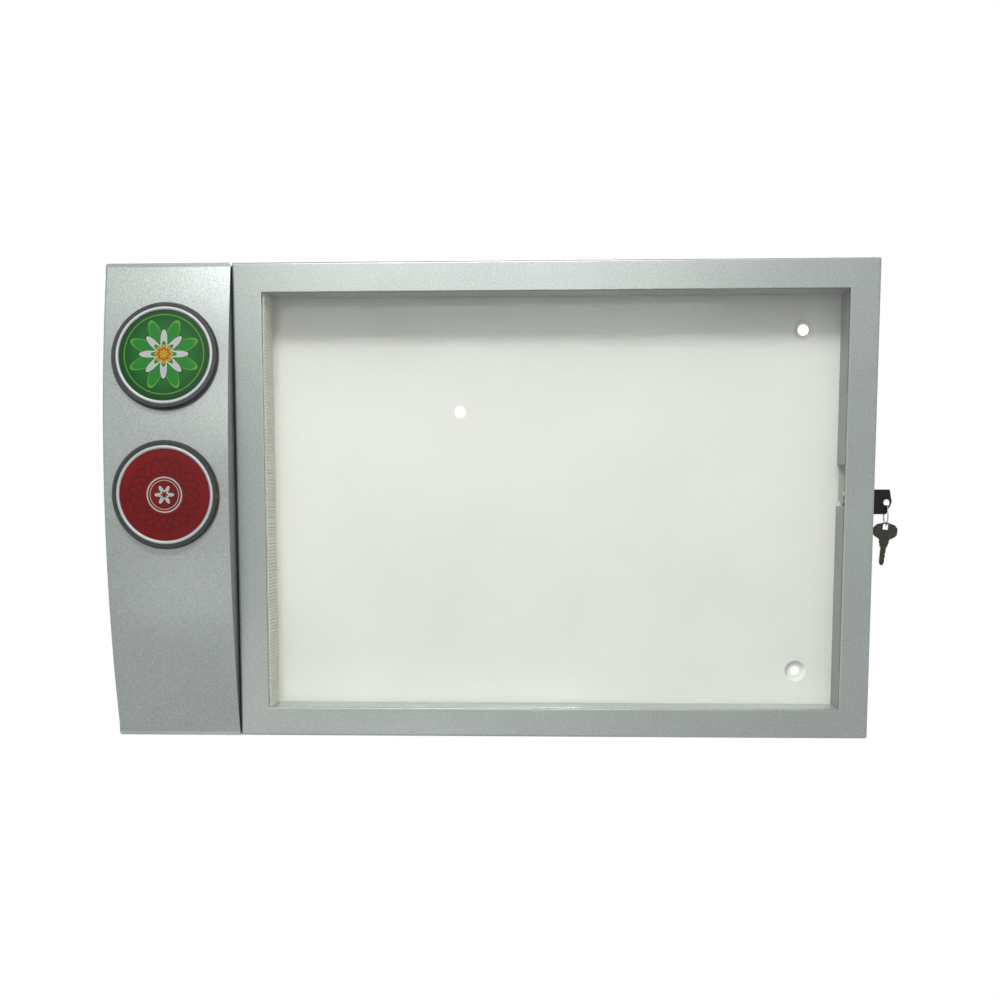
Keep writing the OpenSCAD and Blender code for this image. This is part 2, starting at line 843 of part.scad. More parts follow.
module gear_screws() {
  plate_stack = gear_t + 1;
  color("gainsboro") {
    at_reflector_screws() translate([0, 0, reflector_t]) pan_screw(reflector_t);
    at_gear_screws() translate([0, 0, plate_stack]) pan_screw(plate_stack);
  }
}

// A lampholder: a post with a round well that the lamp's two pins turn in.
module lampholders() {
  base_y = back_y - reflector_t;
  color("white") both_ends() difference() {
    union() {
      block([-lamp_x - holder_w / 2, lamp_y, holder_z0], [-lamp_x + holder_w / 2, base_y, holder_end]);
      translate([-lamp_x, lamp_y, holder_z0]) cylinder(d = holder_w, h = holder_t);
    }
    translate([-lamp_x, lamp_y, holder_z0 - over])
      cylinder(d = lamp_pin_span + lamp_pin_d + 2 * holder_pin_play, h = holder_well_l + over);
    block([-lamp_x - (lamp_pin_d + holder_pin_play) / 2, lamp_y - holder_w, holder_z0 - over],
          [-lamp_x + (lamp_pin_d + holder_pin_play) / 2, lamp_y, holder_z0 + holder_well_l]);
  }
}

// The grommet sits in the back sheet, with a flange on each side.
module cable_grommet() {
  color("black") translate([gear_mid_x, sheet_rear_y, grommet_z]) rotate([90, 0, 0]) rotate_extrude() polygon([
    [grommet_bore / 2, -grommet_rear],
    [grommet_flange_d / 2, -grommet_rear],
    [grommet_flange_d / 2, 0],
    [grommet_neck_d / 2, 0],
    [grommet_neck_d / 2, sheet_t],
    [grommet_flange_d / 2, sheet_t],
    [grommet_flange_d / 2 - 1, sheet_t + grommet_front],
    [grommet_bore / 2, sheet_t + grommet_front]
  ]);
}

module earth_stud() {
  stud = 4;
  washer_t = 0.8;
  color("gold") translate([earth_x, back_y, earth_z]) rotate([90, 0, 0]) {
    cylinder(d = stud, h = 3 * stud);
    cylinder(d = 2.25 * stud, h = washer_t);
    translate([0, 0, washer_t]) linear_extrude(nut_ratio[1] * stud) hexagon(nut_ratio[0] * stud);
  }
}

// A lead of round wire through the given points.
module lead(points) {
  bead = 0.2;
  for (i = [0 : len(points) - 2]) {
    step = points[i + 1] - points[i];
    run = norm(step);
    translate(points[i]) rotate([0, acos(step[2] / run), atan2(step[1], step[0])])
      cylinder(d = lead_d, h = run, $fn = 24);
  }
  for (i = [1 : 1 : len(points) - 2]) {
    translate(points[i]) sphere(d = lead_d + bead, $fn = 24);
  }
}

// The leads run in the lane between the gear plate and the wall holes, and round the
// reflector's two ends to the lampholders.
module internal_leads() {
  grip = 6;
  lane_x = gear_x1 + 0.8 * lead_d;
  lane_y = back_y - 7 * lead_d;
  wire_y = gear_face_y - terminal_d / 2;
  holder_y = lamp_y + grip;
  term_top = terminal_z0 + terminal_h;
  round_end = reflector_half + lead_gap;
  left_x = gear_mid_x - terminal_pitch;
  right_x = gear_mid_x + terminal_pitch;
  color("white") {
    lead([[left_x, wire_y, term_top - grip], [left_x, wire_y, ballast_z0]]);
    lead([
      [right_x, wire_y, term_top - grip],
      [right_x, wire_y, term_top + grip],
      [lane_x, lane_y, term_top + 3 * grip],
      [lane_x, lane_y, round_end],
      [-lamp_x, holder_y, round_end],
      [-lamp_x, holder_y, holder_end]
    ]);
    lead([
      [gear_mid_x + grip, starter_y, starter_z0 - starter_base_l],
      [gear_mid_x + grip, starter_y, ballast_z0 + ballast_l]
    ]);
    lead([
      [right_x, wire_y, terminal_z0 + grip],
      [right_x, wire_y, terminal_z0 - grip],
      [lane_x, lane_y, terminal_z0 - 3 * grip],
      [lane_x, lane_y, -round_end],
      [-lamp_x, holder_y, -round_end],
      [-lamp_x, holder_y, -holder_end]
    ]);
  }
}

module lamp_tube() {
  color("white") translate([-lamp_x, lamp_y, -lamp_half + cap_l])
    cylinder(d = lamp_d - 2 * fit_gap, h = lamp_l - 2 * cap_l);
}

module lamp_caps() {
  color("silver") both_ends() translate([-lamp_x, lamp_y, lamp_half - cap_l]) {
    cylinder(d = lamp_d, h = cap_l);
    for (s = [-1, 1]) {
      translate([s * lamp_pin_span / 2, 0, cap_l]) cylinder(d = lamp_pin_d, h = lamp_pin_l, $fn = 24);
    }
  }
}

// The door as a solid whose faces lie the given distance inside its outer faces.
module door_solid(inset, rear_y) {
  x0 = door_x0 + inset;
  x1 = half_w - inset;
  y0 = front_y + inset;
  z1 = half_h - inset;
  bend = bend_r - inset;
  intersection() {
    along_y(y0, rear_y) difference() {
      rect([x0, -z1], [x1, z1]);
      corner_waste([x1, z1], [-1, -1], corner_r - inset);
      corner_waste([x1, -z1], [-1, 1], corner_r - inset);
    }
    along_z(-half_h, half_h) difference() {
      rect([x0, y0], [x1, rear_y]);
      corner_waste([x0, y0], [1, 1], bend);
      corner_waste([x1, y0], [-1, 1], bend);
    }
    along_x(door_x0, half_w) difference() {
      rect([y0, -z1], [rear_y, z1]);
      corner_waste([y0, z1], [1, -1], bend);
      corner_waste([y0, -z1], [1, 1], bend);
    }
  }
}

// Stud places along the top liner, the bottom one and the two right ones.
stud_pitch = (open_x1 - open_x0 - 2 * stud_row_edge) / (stud_row_count - 1);
stud_row_xs = [for (i = [0 : stud_row_count - 1]) open_x0 + stud_row_edge + i * stud_pitch];
stud_col_zs = [
  -open_z + stud_col_edge,
  liner_gap_lo - stud_gap_edge,
  liner_gap_hi + stud_gap_edge,
  open_z - stud_col_edge
];

module at_liner_studs() {
  both_ends() for (x = stud_row_xs) {
    translate([x, sheet_in_y, open_z + stud_off]) rotate([-90, 0, 0]) children();
  }
  for (z = stud_col_zs) {
    translate([open_x1 + stud_off, sheet_in_y, z]) rotate([-90, 0, 0]) children();
  }
}

// The opening, with the front edges of its sheet rounded.
module opening_cut() {
  intersection() {
    along_x(open_x0 - open_edge_r, open_x1 + open_edge_r) {
      rect([front_y - over, -open_z], [sheet_in_y + over, open_z]);
      corner_waste([front_y, open_z], [1, 1], open_edge_r);
      corner_waste([front_y, -open_z], [1, -1], open_edge_r);
    }
    along_z(-open_z - open_edge_r, open_z + open_edge_r) {
      rect([open_x0, front_y - over], [open_x1, sheet_in_y + over]);
      corner_waste([open_x0, front_y], [-1, 1], open_edge_r);
      corner_waste([open_x1, front_y], [1, 1], open_edge_r);
    }
  }
}

module door_frame() {
  notch_z = bracket_z0 - hinge_notch;
  stud_l = pane_t + liner_t + stud_reach;
  color("silver") difference() {
    union() {
      difference() {
        door_solid(0, skin_rear_y);
        door_solid(skin_t, over);
        opening_cut();
        block([door_x0 - over, front_y + hinge_return, -half_h - over],
              [door_x0 + skin_t, over, half_h + over]);
        both_ends() block([door_x0 - over, sheet_in_y + seat_gap, notch_z],
                          [door_x0 + skin_t, over, half_h - skin_t]);
      }
      at_liner_studs() translate([0, 0, -stud_root]) cylinder(d = stud_d, h = stud_root + stud_l, $fn = 24);
    }
    translate([half_w - skin_t - over, lock_y, lock_z]) rotate([0, 90, 0])
      cylinder(d = barrel_d + 2 * run_gap, h = skin_t + 2 * over);
    both_ends() translate([hinge_x, hinge_y, half_h - skin_t - over])
      cylinder(d = hinge_pin_d, h = skin_t + 2 * over);
  }
}

module glazing_pane() {
  color("aliceblue", 0.3) block([open_x0 - pane_lap, sheet_in_y, -open_z - pane_lap],
                                [open_x1 + pane_lap, pane_rear_y, open_z + pane_lap]);
}

module stud_clearance() {
  at_liner_studs() cylinder(d = stud_d + 2 * fit_gap, h = pane_t + liner_t + over, $fn = 24);
}

// A liner angle's section along the opening's edge, drawn in (depth, distance from the edge).
module liner_section() {
  rect([pane_rear_y, 0], [liner_rear_y, liner_t]);
  rect([pane_rear_y, 0], [liner_lip_y, liner_flange]);
}

module liner_row() {
  difference() {
    along_x(diffuser_x1 + liner_end_gap, open_x1 + liner_t) translate([0, open_z]) liner_section();
    stud_clearance();
  }
}

module liner_top() {
  color("silver") liner_row();
}

module liner_bottom() {
  color("silver") mirror([0, 0, 1]) liner_row();
}

module liner_column(z0, z1) {
  color("silver") difference() {
    along_z(z0, z1) translate([open_x1, 0]) mirror([1, 0]) rotate([0, 0, 90]) liner_section();
    stud_clearance();
  }
}

module liner_right_upper() {
  liner_column(liner_gap_hi, open_z);
}

module liner_right_lower() {
  liner_column(-open_z, liner_gap_lo);
}

module liner_nuts() {
  color("gainsboro") at_liner_studs() translate([0, 0, pane_t + liner_t])
    linear_extrude(nut_ratio[1] * stud_d) difference() {
      hexagon(nut_ratio[0] * stud_d);
      circle(d = stud_d + 2 * run_gap, $fn = 24);
    }
}

module hinge_pins() {
  color("gray") both_ends() translate([hinge_x, hinge_y, pin_tip_z])
    cylinder(d = hinge_pin_d, h = half_h - pin_tip_z);
}

module hinge_washers() {
  low = band_in_z + run_gap;
  high = half_h - skin_t - run_gap;
  color("white") both_ends() translate([hinge_x, hinge_y, low]) linear_extrude(high - low) difference() {
    circle(r = washer_r);
    circle(d = hinge_pin_d + 2 * run_gap);
  }
}

// Stands on the lock's axis with its own Z pointing out of the door's side, from x = 0.
module on_lock(x) {
  translate([x, lock_y, lock_z]) rotate([0, 90, 0]) children();
}

module lock_barrel() {
  face_half = lock_face_t / 2;
  color("gainsboro") difference() {
    union() {
      on_lock(barrel_x0) cylinder(d = barrel_d, h = half_w - barrel_x0);
      on_lock(half_w) cylinder(d = lock_face_d, h = face_half);
      on_lock(half_w + face_half) cylinder(d1 = lock_face_d, d2 = lock_face_d - lock_face_t, h = face_half);
    }
    on_lock(barrel_x0 - over) cylinder(d = plug_d + 2 * run_gap, h = lock_face_x - barrel_x0 + 2 * over);
  }
}

module lock_nut() {
  color("gainsboro") on_lock(side_in_x - nut_t) linear_extrude(nut_t) difference() {
    hexagon(lock_nut_af);
    circle(d = barrel_d + 2 * run_gap);
  }
}

module lock_plug() {
  slot_t = key_t + fit_gap;
  slot_h = blade_h + 2 * fit_gap;
  color("darkgray") difference() {
    union() {
      on_lock(barrel_x0) cylinder(d = plug_d, h = lock_face_x - barrel_x0);
      block([plug_square_x0, lock_y - plug_square / 2, lock_z - plug_square / 2],
            [barrel_x0, lock_y + plug_square / 2, lock_z + plug_square / 2]);
    }
    block([lock_face_x - blade_l - key_slot_end, lock_y - slot_t / 2, lock_z - slot_h / 2],
          [lock_face_x + over, lock_y + slot_t / 2, lock_z + slot_h / 2]);
    on_lock(plug_square_x0 - over) cylinder(d = cam_screw_d + 2 * run_gap, h = over + plug_tap_l);
  }
}

// The cam points back to the wall when unlocked.
module lock_cam() {
  end_r = cam_w / 4;
  square_half = plug_square / 2 + run_gap;
  color("silver") difference() {
    along_x(barrel_x0 - cam_t - run_gap, barrel_x0 - run_gap) union() {
      translate([lock_y, lock_z]) circle(r = cam_hub_r);
      rect([lock_y, lock_z - cam_w / 2], [lock_y + cam_reach - end_r, lock_z + cam_w / 2]);
      for (s = [-1, 1]) {
        translate([lock_y + cam_reach - end_r, lock_z + s * end_r]) circle(r = end_r, $fn = 32);
      }
      rect([lock_y, lock_z - end_r], [lock_y + cam_reach, lock_z + end_r]);
    }
    block([barrel_x0 - cam_t - over, lock_y - square_half, lock_z - square_half],
          [barrel_x0 + over, lock_y + square_half, lock_z + square_half]);
  }
}

module cam_screw() {
  color("gainsboro") difference() {
    union() {
      on_lock(plug_square_x0 - cam_screw_head_t) cylinder(d = cam_screw_head_d, h = cam_screw_head_t);
      on_lock(plug_square_x0) cylinder(d = cam_screw_d, h = cam_screw_l);
    }
    block([plug_square_x0 - cam_screw_head_t - over, lock_y - screw_slot_w / 2, lock_z - cam_screw_head_d],
          [plug_square_x0 - cam_screw_head_t / 2, lock_y + screw_slot_w / 2, lock_z + cam_screw_head_d]);
  }
}

// The key's blade and its tang, which the head is moulded over.
module key_tang() {
  x0 = lock_face_x + key_neck;
  rect([x0, lock_z - blade_h / 2], [x0 + key_tang_l, lock_z + blade_h / 2]);
}

module key_blade() {
  tip_x = lock_face_x - blade_l;
  top_z = lock_z + blade_h / 2;
  low_z = lock_z - blade_h / 2;
  flat = key_cut_flat / 2;
  color("silver") along_y(lock_y - key_t / 2, lock_y + key_t / 2) difference() {
    union() {
      rect([tip_x, low_z], [lock_face_x + key_neck, top_z]);
      key_tang();
    }
    for (i = [0 : len(key_cuts) - 1]) {
      cut = key_cuts[i];
      translate([tip_x + (i + 1) * key_cut_pitch, top_z])
        polygon([[-cut - flat, seat_gap], [-flat, -cut], [flat, -cut], [cut + flat, seat_gap]]);
    }
    polygon([
      [tip_x - over, top_z + over],
      [tip_x - over, low_z + key_tip],
      [tip_x, low_z + key_tip],
      [tip_x + key_tip, top_z],
      [tip_x + key_tip, top_z + over]
    ]);
  }
}

// The key's moulded head, with its rounded nose towards the right.
module key_head() {
  x0 = lock_face_x + key_neck;
  edge = 1.2;
  nose = key_hole_d / 2 + 1.4;
  nose_rise = 0.6;
  top_lean = 1.2;
  low_lean = 0.8;
  color("black") difference() {
    along_y(lock_y - key_head_t / 2, lock_y + key_head_t / 2) difference() {
      hull() {
        translate([x0 + edge, lock_z + key_head_up - edge]) circle(r = edge, $fn = 32);
        translate([x0 + edge, lock_z - key_head_down + edge]) circle(r = edge, $fn = 32);
        translate([key_plane_x + top_lean, lock_z + key_head_up - edge]) circle(r = edge, $fn = 32);
        translate([key_plane_x - low_lean, lock_z - key_head_down + edge]) circle(r = edge, $fn = 32);
        translate([key_plane_x, lock_z + nose_rise]) circle(r = nose, $fn = 48);
      }
      translate([key_plane_x, lock_z]) circle(d = key_hole_d);
    }
    along_y(lock_y - key_t / 2, lock_y + key_t / 2) key_tang();
  }
}

// The wire ring hangs through both keys' holes, edge on to the front.
module split_ring() {
  color("silver") translate([key_plane_x, lock_y, ring_mid_z]) rotate([0, 90, 0])
    rotate_extrude($fn = 96) translate([ring_r, 0]) circle(d = wire_d, $fn = 24);
}

// The spare key's outline about its hole: a broad head, shoulders and a cut blade.
module spare_outline() {
  head_half = 9.7;
  difference() {
    polygon([
      [0, 3.9],
      [head_half - 2.4, 1.8],
      [head_half, -0.8],
      [head_half, -5.8],
      [head_half - 1.6, -7.8],
      [3.9, -10.2],
      [3.9, -12.6],
      [3.2, -14],
      [3.2, -15.2],
      [2.1, -16.8],
      [2.1, -21],
      [1.5, -22],
      [2.3, -23.6],
      [1.6, -25],
      [1.9, -28],
      [0.9, -30.8],
      [-0.9, -30.8],
      [-2.1, -28.6],
      [-2.1, -16.8],
      [-3.2, -15.2],
      [-3.2, -14],
      [-3.9, -12.6],
      [-3.9, -10.2],
      [-head_half + 1.6, -7.8],
      [-head_half, -5.8],
      [-head_half, -0.8],
      [-head_half + 2.4, 1.8]
    ]);
    translate([-spare_hole / 2, -spare_hole / 2]) square(spare_hole);
  }
}

module spare_key() {
  color("dimgray") along_y(lock_y - key_t / 2, lock_y + key_t / 2)
    translate([key_plane_x, ring_low_z]) rotate(-spare_tilt)
    translate([0, spare_hole_z - ring_low_z]) spare_outline();
}

back_sheet();
side_band();
strike_plate();
hinge_brackets();
diffuser_strip();
diffuser_clips();
column_cover();
cover_screws();
badge_bezel_upper();
badge_bezel_lower();
badge_rings();
badge_disc_upper();
badge_disc_lower();
badge_nuts();
reflector();
gear_plate();
ballast();
starter_holder();
starter();
terminal_block();
gear_screws();
lampholders();
cable_grommet();
earth_stud();
internal_leads();
lamp_tube();
lamp_caps();
door_frame();
glazing_pane();
liner_top();
liner_bottom();
liner_right_upper();
liner_right_lower();
liner_nuts();
hinge_pins();
hinge_washers();
lock_barrel();
lock_nut();
lock_plug();
lock_cam();
cam_screw();
key_blade();
key_head();
split_ring();
spare_key();
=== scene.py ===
"""Looks of the menu display case: lacquer, enamel, acrylic, badge faces, metals, light and camera."""

import math

import bpy
from bpy.props import FloatProperty, FloatVectorProperty, IntProperty, PointerProperty
from mathutils import Euler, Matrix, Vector


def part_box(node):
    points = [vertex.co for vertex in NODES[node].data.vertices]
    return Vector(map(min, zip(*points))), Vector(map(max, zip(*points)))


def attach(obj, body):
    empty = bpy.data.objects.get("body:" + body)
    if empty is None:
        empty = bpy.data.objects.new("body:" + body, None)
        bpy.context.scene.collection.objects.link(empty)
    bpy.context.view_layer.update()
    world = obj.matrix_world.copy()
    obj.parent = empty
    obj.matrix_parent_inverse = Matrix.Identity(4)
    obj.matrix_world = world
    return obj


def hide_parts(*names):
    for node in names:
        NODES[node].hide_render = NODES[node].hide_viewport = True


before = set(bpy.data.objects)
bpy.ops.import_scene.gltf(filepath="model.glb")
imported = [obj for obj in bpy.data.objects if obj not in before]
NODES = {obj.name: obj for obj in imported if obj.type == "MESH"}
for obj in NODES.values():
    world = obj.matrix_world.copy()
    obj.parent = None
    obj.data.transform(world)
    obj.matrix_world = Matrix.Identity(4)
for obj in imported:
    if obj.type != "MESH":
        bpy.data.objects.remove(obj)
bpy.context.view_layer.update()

bl_info = {
    "name": "Menu Display Case",
    "version": (1, 0, 0),
    "blender": (4, 5, 0),
    "location": "3D View > Sidebar > Display Case",
    "description": "Finishes, light and camera for a wall-hung menu display case",
    "category": "Add Mesh",
}

# A millimetre in metres, and a metre in millimetres
MM = 0.001
METRE = 1000.0

# The bow of the column's face: its radius, and the depth of its axis behind the wall
BOW_RADIUS = 678.3 * MM
BOW_AXIS_Y = 607.3 * MM

# Where the photograph was taken from, in metres and degrees, and the lens and sensor in mm
CAMERA_PLACE = (0.0507, -1.2927, -0.0015)
CAMERA_TURN = (82.618, 0.077, 2.821)
CAMERA_LENS = 55.67
CAMERA_SENSOR = 36.0
CAMERA_SHIFT = (0.0244, 0.2053)

# Each lamp: its place, the point that it faces, and its width and height, in metres
LAMPS = {
    "softbox": ((-0.1, -1.5, 1.42), (0.0, 0.0, 0.0), (0.7, 0.32)),
    "sheen_light": ((-0.08, -1.35, 0.44), (0.03, 0.0, 0.1), (0.78, 0.18)),
    "strip_light": ((-0.25, -1.35, -0.37), (-0.1, 0.0, -0.1), (0.7, 0.06)),
    "back_light": ((0.5, 1.7, 0.9), (0.0, 0.0, 0.0), (1.4, 1.4)),
    "lens_lamp": ((-0.097, -1.29, 0.144), (-0.02, 0.0, 0.07), (0.007, 0.007)),
}

# Lamps for the sheen of the lacquer alone: on matt faces they would wash out the rail's shadow
SHEEN_LAMPS = ("sheen_light", "strip_light")

# The floor, in metres: a round sheet whose rim passes behind the case
FLOOR_SIDES = 96
FLOOR_RADIUS = 1.6
FLOOR_REAR_Y = 0.28

# The part of the noise texture's range that its values fill
NOISE_LOW = 0.3
NOISE_HIGH = 0.7

ACRYLIC_IOR = 1.49

# How much a Principled shader mirrors when nothing else is said
USUAL_SPECULAR = 0.5

# The two kinds of node that recur, and the Mix node's setting and socket numbers for colours
MATH = "ShaderNodeMath"
MIX = "ShaderNodeMix"
COLOURS = {"data_type": "RGBA"}
MIX_SHARE = 0
MIX_FIRST = 6
MIX_SECOND = 7
MIX_RESULT = 2


def linear(hex_colour):
    """An sRGB hex colour as linear red, green and blue."""
    channels = [int(hex_colour[i : i + 2], 16) / 255 for i in (1, 3, 5)]
    return tuple(c / 12.92 if c <= 0.04045 else ((c + 0.055) / 1.055) ** 2.4 for c in channels)


def per_mm(size):
    """The scale of a pattern whose feature is this many millimetres, on Object coordinates."""
    return METRE / size


def set_inputs(tree, node, inputs):
    """Sets inputs of a node, given by name, by number or as a list in order.

    A value is a number, a colour, or what gets linked: a socket, or a node for its first output.
    """
    named = enumerate(inputs) if isinstance(inputs, list) else inputs.items()
    for name, value in named:
        socket = node.inputs[name]
        if isinstance(value, bpy.types.Node):
            value = value.outputs[0]
        if isinstance(value, bpy.types.NodeSocket):
            tree.links.new(value, socket)
        elif socket.type == "RGBA":
            socket.default_value = (*value[:3], 1.0)
        else:
            socket.default_value = value


def add_node(tree, kind, settings=None, inputs=None):
    """Adds a node with its settings and its inputs."""
    node = tree.nodes.new(kind)
    for name, value in (settings or {}).items():
        setattr(node, name, value)
    set_inputs(tree, node, inputs or {})
    return node


def new_material(name):
    """An empty node material and its Principled shader, joined to its output."""
    material = bpy.data.materials.new(name)
    material.use_nodes = True
    tree = material.node_tree
    tree.nodes.clear()
    shader = add_node(tree, "ShaderNodeBsdfPrincipled")
    add_node(tree, "ShaderNodeOutputMaterial", inputs={"Surface": shader})
    return material, tree, shader


def speckle(tree, size_mm, low, high, detail=2.0, stretch=(1.0, 1.0, 1.0)):
    """Noise on Object coordinates with features of the given size, from low to high."""
    place = add_node(tree, "ShaderNodeTexCoord").outputs["Object"]
    turned = add_node(tree, "ShaderNodeMapping", inputs={"Vector": place, "Scale": stretch})
    noise = add_node(
        tree,
        "ShaderNodeTexNoise",
        inputs={"Vector": turned, "Scale": per_mm(size_mm), "Detail": detail},
    )
    return add_node(
        tree,
        "ShaderNodeMapRange",
        inputs={
            "Value": noise.outputs["Fac"],
            "From Min": NOISE_LOW,
            "From Max": NOISE_HIGH,
            "To Min": low,
            "To Max": high,
        },
    )


def paint(material, *names):
    """Gives CAD nodes one material on all their faces."""
    for name in names:
        slots = NODES[name].data.materials
        slots.clear()
        slots.append(material)


def finished(object_, body, slot, *replaced):
    """Puts a new piece on its body, in place of CAD nodes; the slot is not used."""
    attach(object_, body)
    if replaced:
        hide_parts(*replaced)


# Settings


class SilverLacquer(bpy.types.PropertyGroup):
    """The metallic lacquer of the skins and liners."""

    colour: FloatVectorProperty(
        name="Colour", description="Lacquer between its flakes", subtype="COLOR", default=linear("#989f9b")
    )
    flake_colour: FloatVectorProperty(
        name="Flakes", description="Lacquer over its flakes", subtype="COLOR", default=linear("#b6bdb9")
    )
    flake: FloatProperty(name="Flake size", description="Mottle of the flakes, in mm", default=1.1)
    edge: FloatProperty(
        name="Edge", description="Radius of the worn edges", subtype="DISTANCE", default=0.4 * MM
    )
    metal: FloatProperty(name="Metal", description="Share of light sent back by flakes", default=0.48)
    roughness: FloatProperty(name="Roughness", description="Spread of its highlight", default=0.3)
    # Painted shade: the right liners get a darker lacquer that mirrors less, for the shadow that falls on
    # them in the recess
    liner_painted_shade: FloatProperty(
        name="Right liners", description="Tone of the right liners beside the other skins", default=0.45
    )
    liner_sheen: FloatProperty(
        name="Liner sheen", description="Sheen of the right liners beside the other skins", default=0.15
    )


class WhiteEnamel(bpy.types.PropertyGroup):
    """The glossy enamel of the back, the band, the reflector and the clips."""

    colour: FloatVectorProperty(
        name="Colour", description="Enamel", subtype="COLOR", default=linear("#f0efe9")
    )
    shade: FloatVectorProperty(
        name="Shade", description="Enamel where it's thin", subtype="COLOR", default=linear("#ebeae3")
    )
    ripple: FloatProperty(name="Ripple", description="Width of its orange peel, in mm", default=3.0)
    roughness: FloatProperty(name="Roughness", description="Spread of its highlight", default=0.035)


class PrismStrip(bpy.types.PropertyGroup):
    """The diffuser strip's sheet of pyramids."""

    pitch: FloatProperty(
        name="Pitch", description="Distance between pyramids", subtype="DISTANCE", default=2.7 * MM
    )
    depth: FloatProperty(
        name="Depth", description="Height of a pyramid", subtype="DISTANCE", default=1.1 * MM
    )
    tint: FloatVectorProperty(
        name="Tint", description="Acrylic at the tips", subtype="COLOR", default=linear("#fdfcf3")
    )
    # Painted shade: the acrylic is drawn darker between the tips, where the pyramids' creases lie in shade
    valley: FloatVectorProperty(
        name="Valley", description="Acrylic between the tips", subtype="COLOR", default=linear("#f3f1e3")
    )


class BadgeFaces(bpy.types.PropertyGroup):
    """The colours and counts of the two printed faces."""

    leaf_dark: FloatVectorProperty(
        name="Dark green", description="Rim of the upper face", subtype="COLOR", default=linear("#114f20")
    )
    leaf_mid: FloatVectorProperty(
        name="Green", description="Middle of the upper face", subtype="COLOR", default=linear("#319b3b")
    )
    leaf_light: FloatVectorProperty(
        name="Light green", description="Outer petals' edges", subtype="COLOR", default=linear("#78c046")
    )
    cream: FloatVectorProperty(
        name="Cream", description="Pale print", subtype="COLOR", default=linear("#eef0ec")
    )
    gold: FloatVectorProperty(
        name="Gold", description="Eye of the upper flower", subtype="COLOR", default=linear("#e6bb3c")
    )
    orange: FloatVectorProperty(
        name="Orange", description="Line round the eye", subtype="COLOR", default=linear("#c8501f")
    )
    red: FloatVectorProperty(
        name="Red", description="Lower face", subtype="COLOR", default=linear("#981f20")
    )
    red_dark: FloatVectorProperty(
        name="Dark red", description="Loops of the lower face", subtype="COLOR", default=linear("#6a1a1c")
    )
    petals: IntProperty(name="Petals", description="Petals of the upper face", default=8, min=3)
    loops: IntProperty(name="Loops", description="Loops of the lower face", default=7, min=3)


class StageLight(bpy.types.PropertyGroup):
    """The powers of the lamps, the room's light and the floor."""

    softbox: FloatProperty(
        name="Softbox", description="Power of the softbox over the lens", subtype="POWER", default=19.5
    )
    sheen_light: FloatProperty(
        name="Sheen",
        description="Power of the light that the top rail mirrors",
        subtype="POWER",
        default=2.3,
    )
    strip_light: FloatProperty(
        name="Strip",
        description="Power of the light that the bottom rail mirrors",
        subtype="POWER",
        default=0.55,
    )
    back_light: FloatProperty(
        name="Back", description="Power of the light behind the case", subtype="POWER", default=34.0
    )
    lens_lamp: FloatProperty(
        name="Lamp", description="Power of the small lamp by the lens", subtype="POWER", default=0.022
    )
    fill: FloatProperty(name="Room", description="Strength of the room's light", default=0.08)
    floor_z: FloatProperty(
        name="Floor", description="Height of the floor", subtype="DISTANCE", default=-0.56
    )
    floor_glow: FloatProperty(
        name="Floor glow", description="Share of the background that shows on the floor", default=0.72
    )
    white: FloatVectorProperty(
        name="Background", description="Colour behind the case", subtype="COLOR", default=linear("#ffffff")
    )


# Finishes


def silver_lacquer(name, settings, tone=1.0, sheen=1.0):
    """Silver lacquer, sprayed on sheet steel: fine flakes give a soft speckle and a broad sheen.

    The tone darkens both colours as painted shade, and the sheen weakens the mirroring, beside the
    settings.
    """
    material, tree, shader = new_material(name)
    flakes = speckle(tree, size_mm=settings.flake, low=0.0, high=1.0, detail=4.0)
    cloud = speckle(tree, size_mm=70.0, low=0.0, high=0.25)
    share = add_node(tree, MATH, {"operation": "ADD", "use_clamp": True}, [flakes, cloud])
    between, over = [[tone * c for c in ink] for ink in (settings.colour, settings.flake_colour)]
    colour = add_node(tree, MIX, COLOURS, {MIX_SHARE: share, MIX_FIRST: between, MIX_SECOND: over})
    worn = add_node(tree, "ShaderNodeBevel", {"samples": 4}, {"Radius": settings.edge})
    relief = add_node(
        tree,
        "ShaderNodeBump",
        inputs={"Height": flakes, "Distance": 0.06 * MM, "Strength": 0.5, "Normal": worn},
    )
    set_inputs(
        tree,
        shader,
        {
            "Base Color": colour.outputs[MIX_RESULT],
            "Metallic": sheen * settings.metal,
            "Specular IOR Level": sheen * USUAL_SPECULAR,
            "Roughness": settings.roughness,
            "Normal": relief,
        },
    )
    return material


def white_enamel(settings):
    """White enamel, stoved on sheet steel: a glossy coat with a shallow orange peel."""
    material, tree, shader = new_material("white_enamel")
    cloud = speckle(tree, size_mm=90.0, low=0.0, high=1.0)
    colour = add_node(
        tree, MIX, COLOURS, {MIX_SHARE: cloud, MIX_FIRST: settings.colour, MIX_SECOND: settings.shade}
    )
    ripple = speckle(tree, settings.ripple, low=0.0, high=1.0, detail=1.0, stretch=(1.0, 1.0, 2.2))
    peel = add_node(
        tree, "ShaderNodeBump", inputs={"Height": ripple, "Distance": 0.05 * MM, "Strength": 0.6}
    )
    set_inputs(
        tree,
        shader,
        {
            "Base Color": colour.outputs[MIX_RESULT],
            "Roughness": settings.roughness,
            "Normal": peel,
        },
    )
    return material


def clear_acrylic():
    """Clear acrylic, cast in sheet: polished faces that mirror a little and let lamps through."""
    material, tree, shader = new_material("clear_acrylic")
    haze = speckle(tree, size_mm=40.0, low=0.01, high=0.035)
    set_inputs(
        tree,
        shader,
        {
            "Base Color": linear("#fbfdfc"),
            "Roughness": haze,
            "IOR": ACRYLIC_IOR,
            "Transmission Weight": 1.0,
        },
    )
    let_lamps_through(tree, shader)
    return material


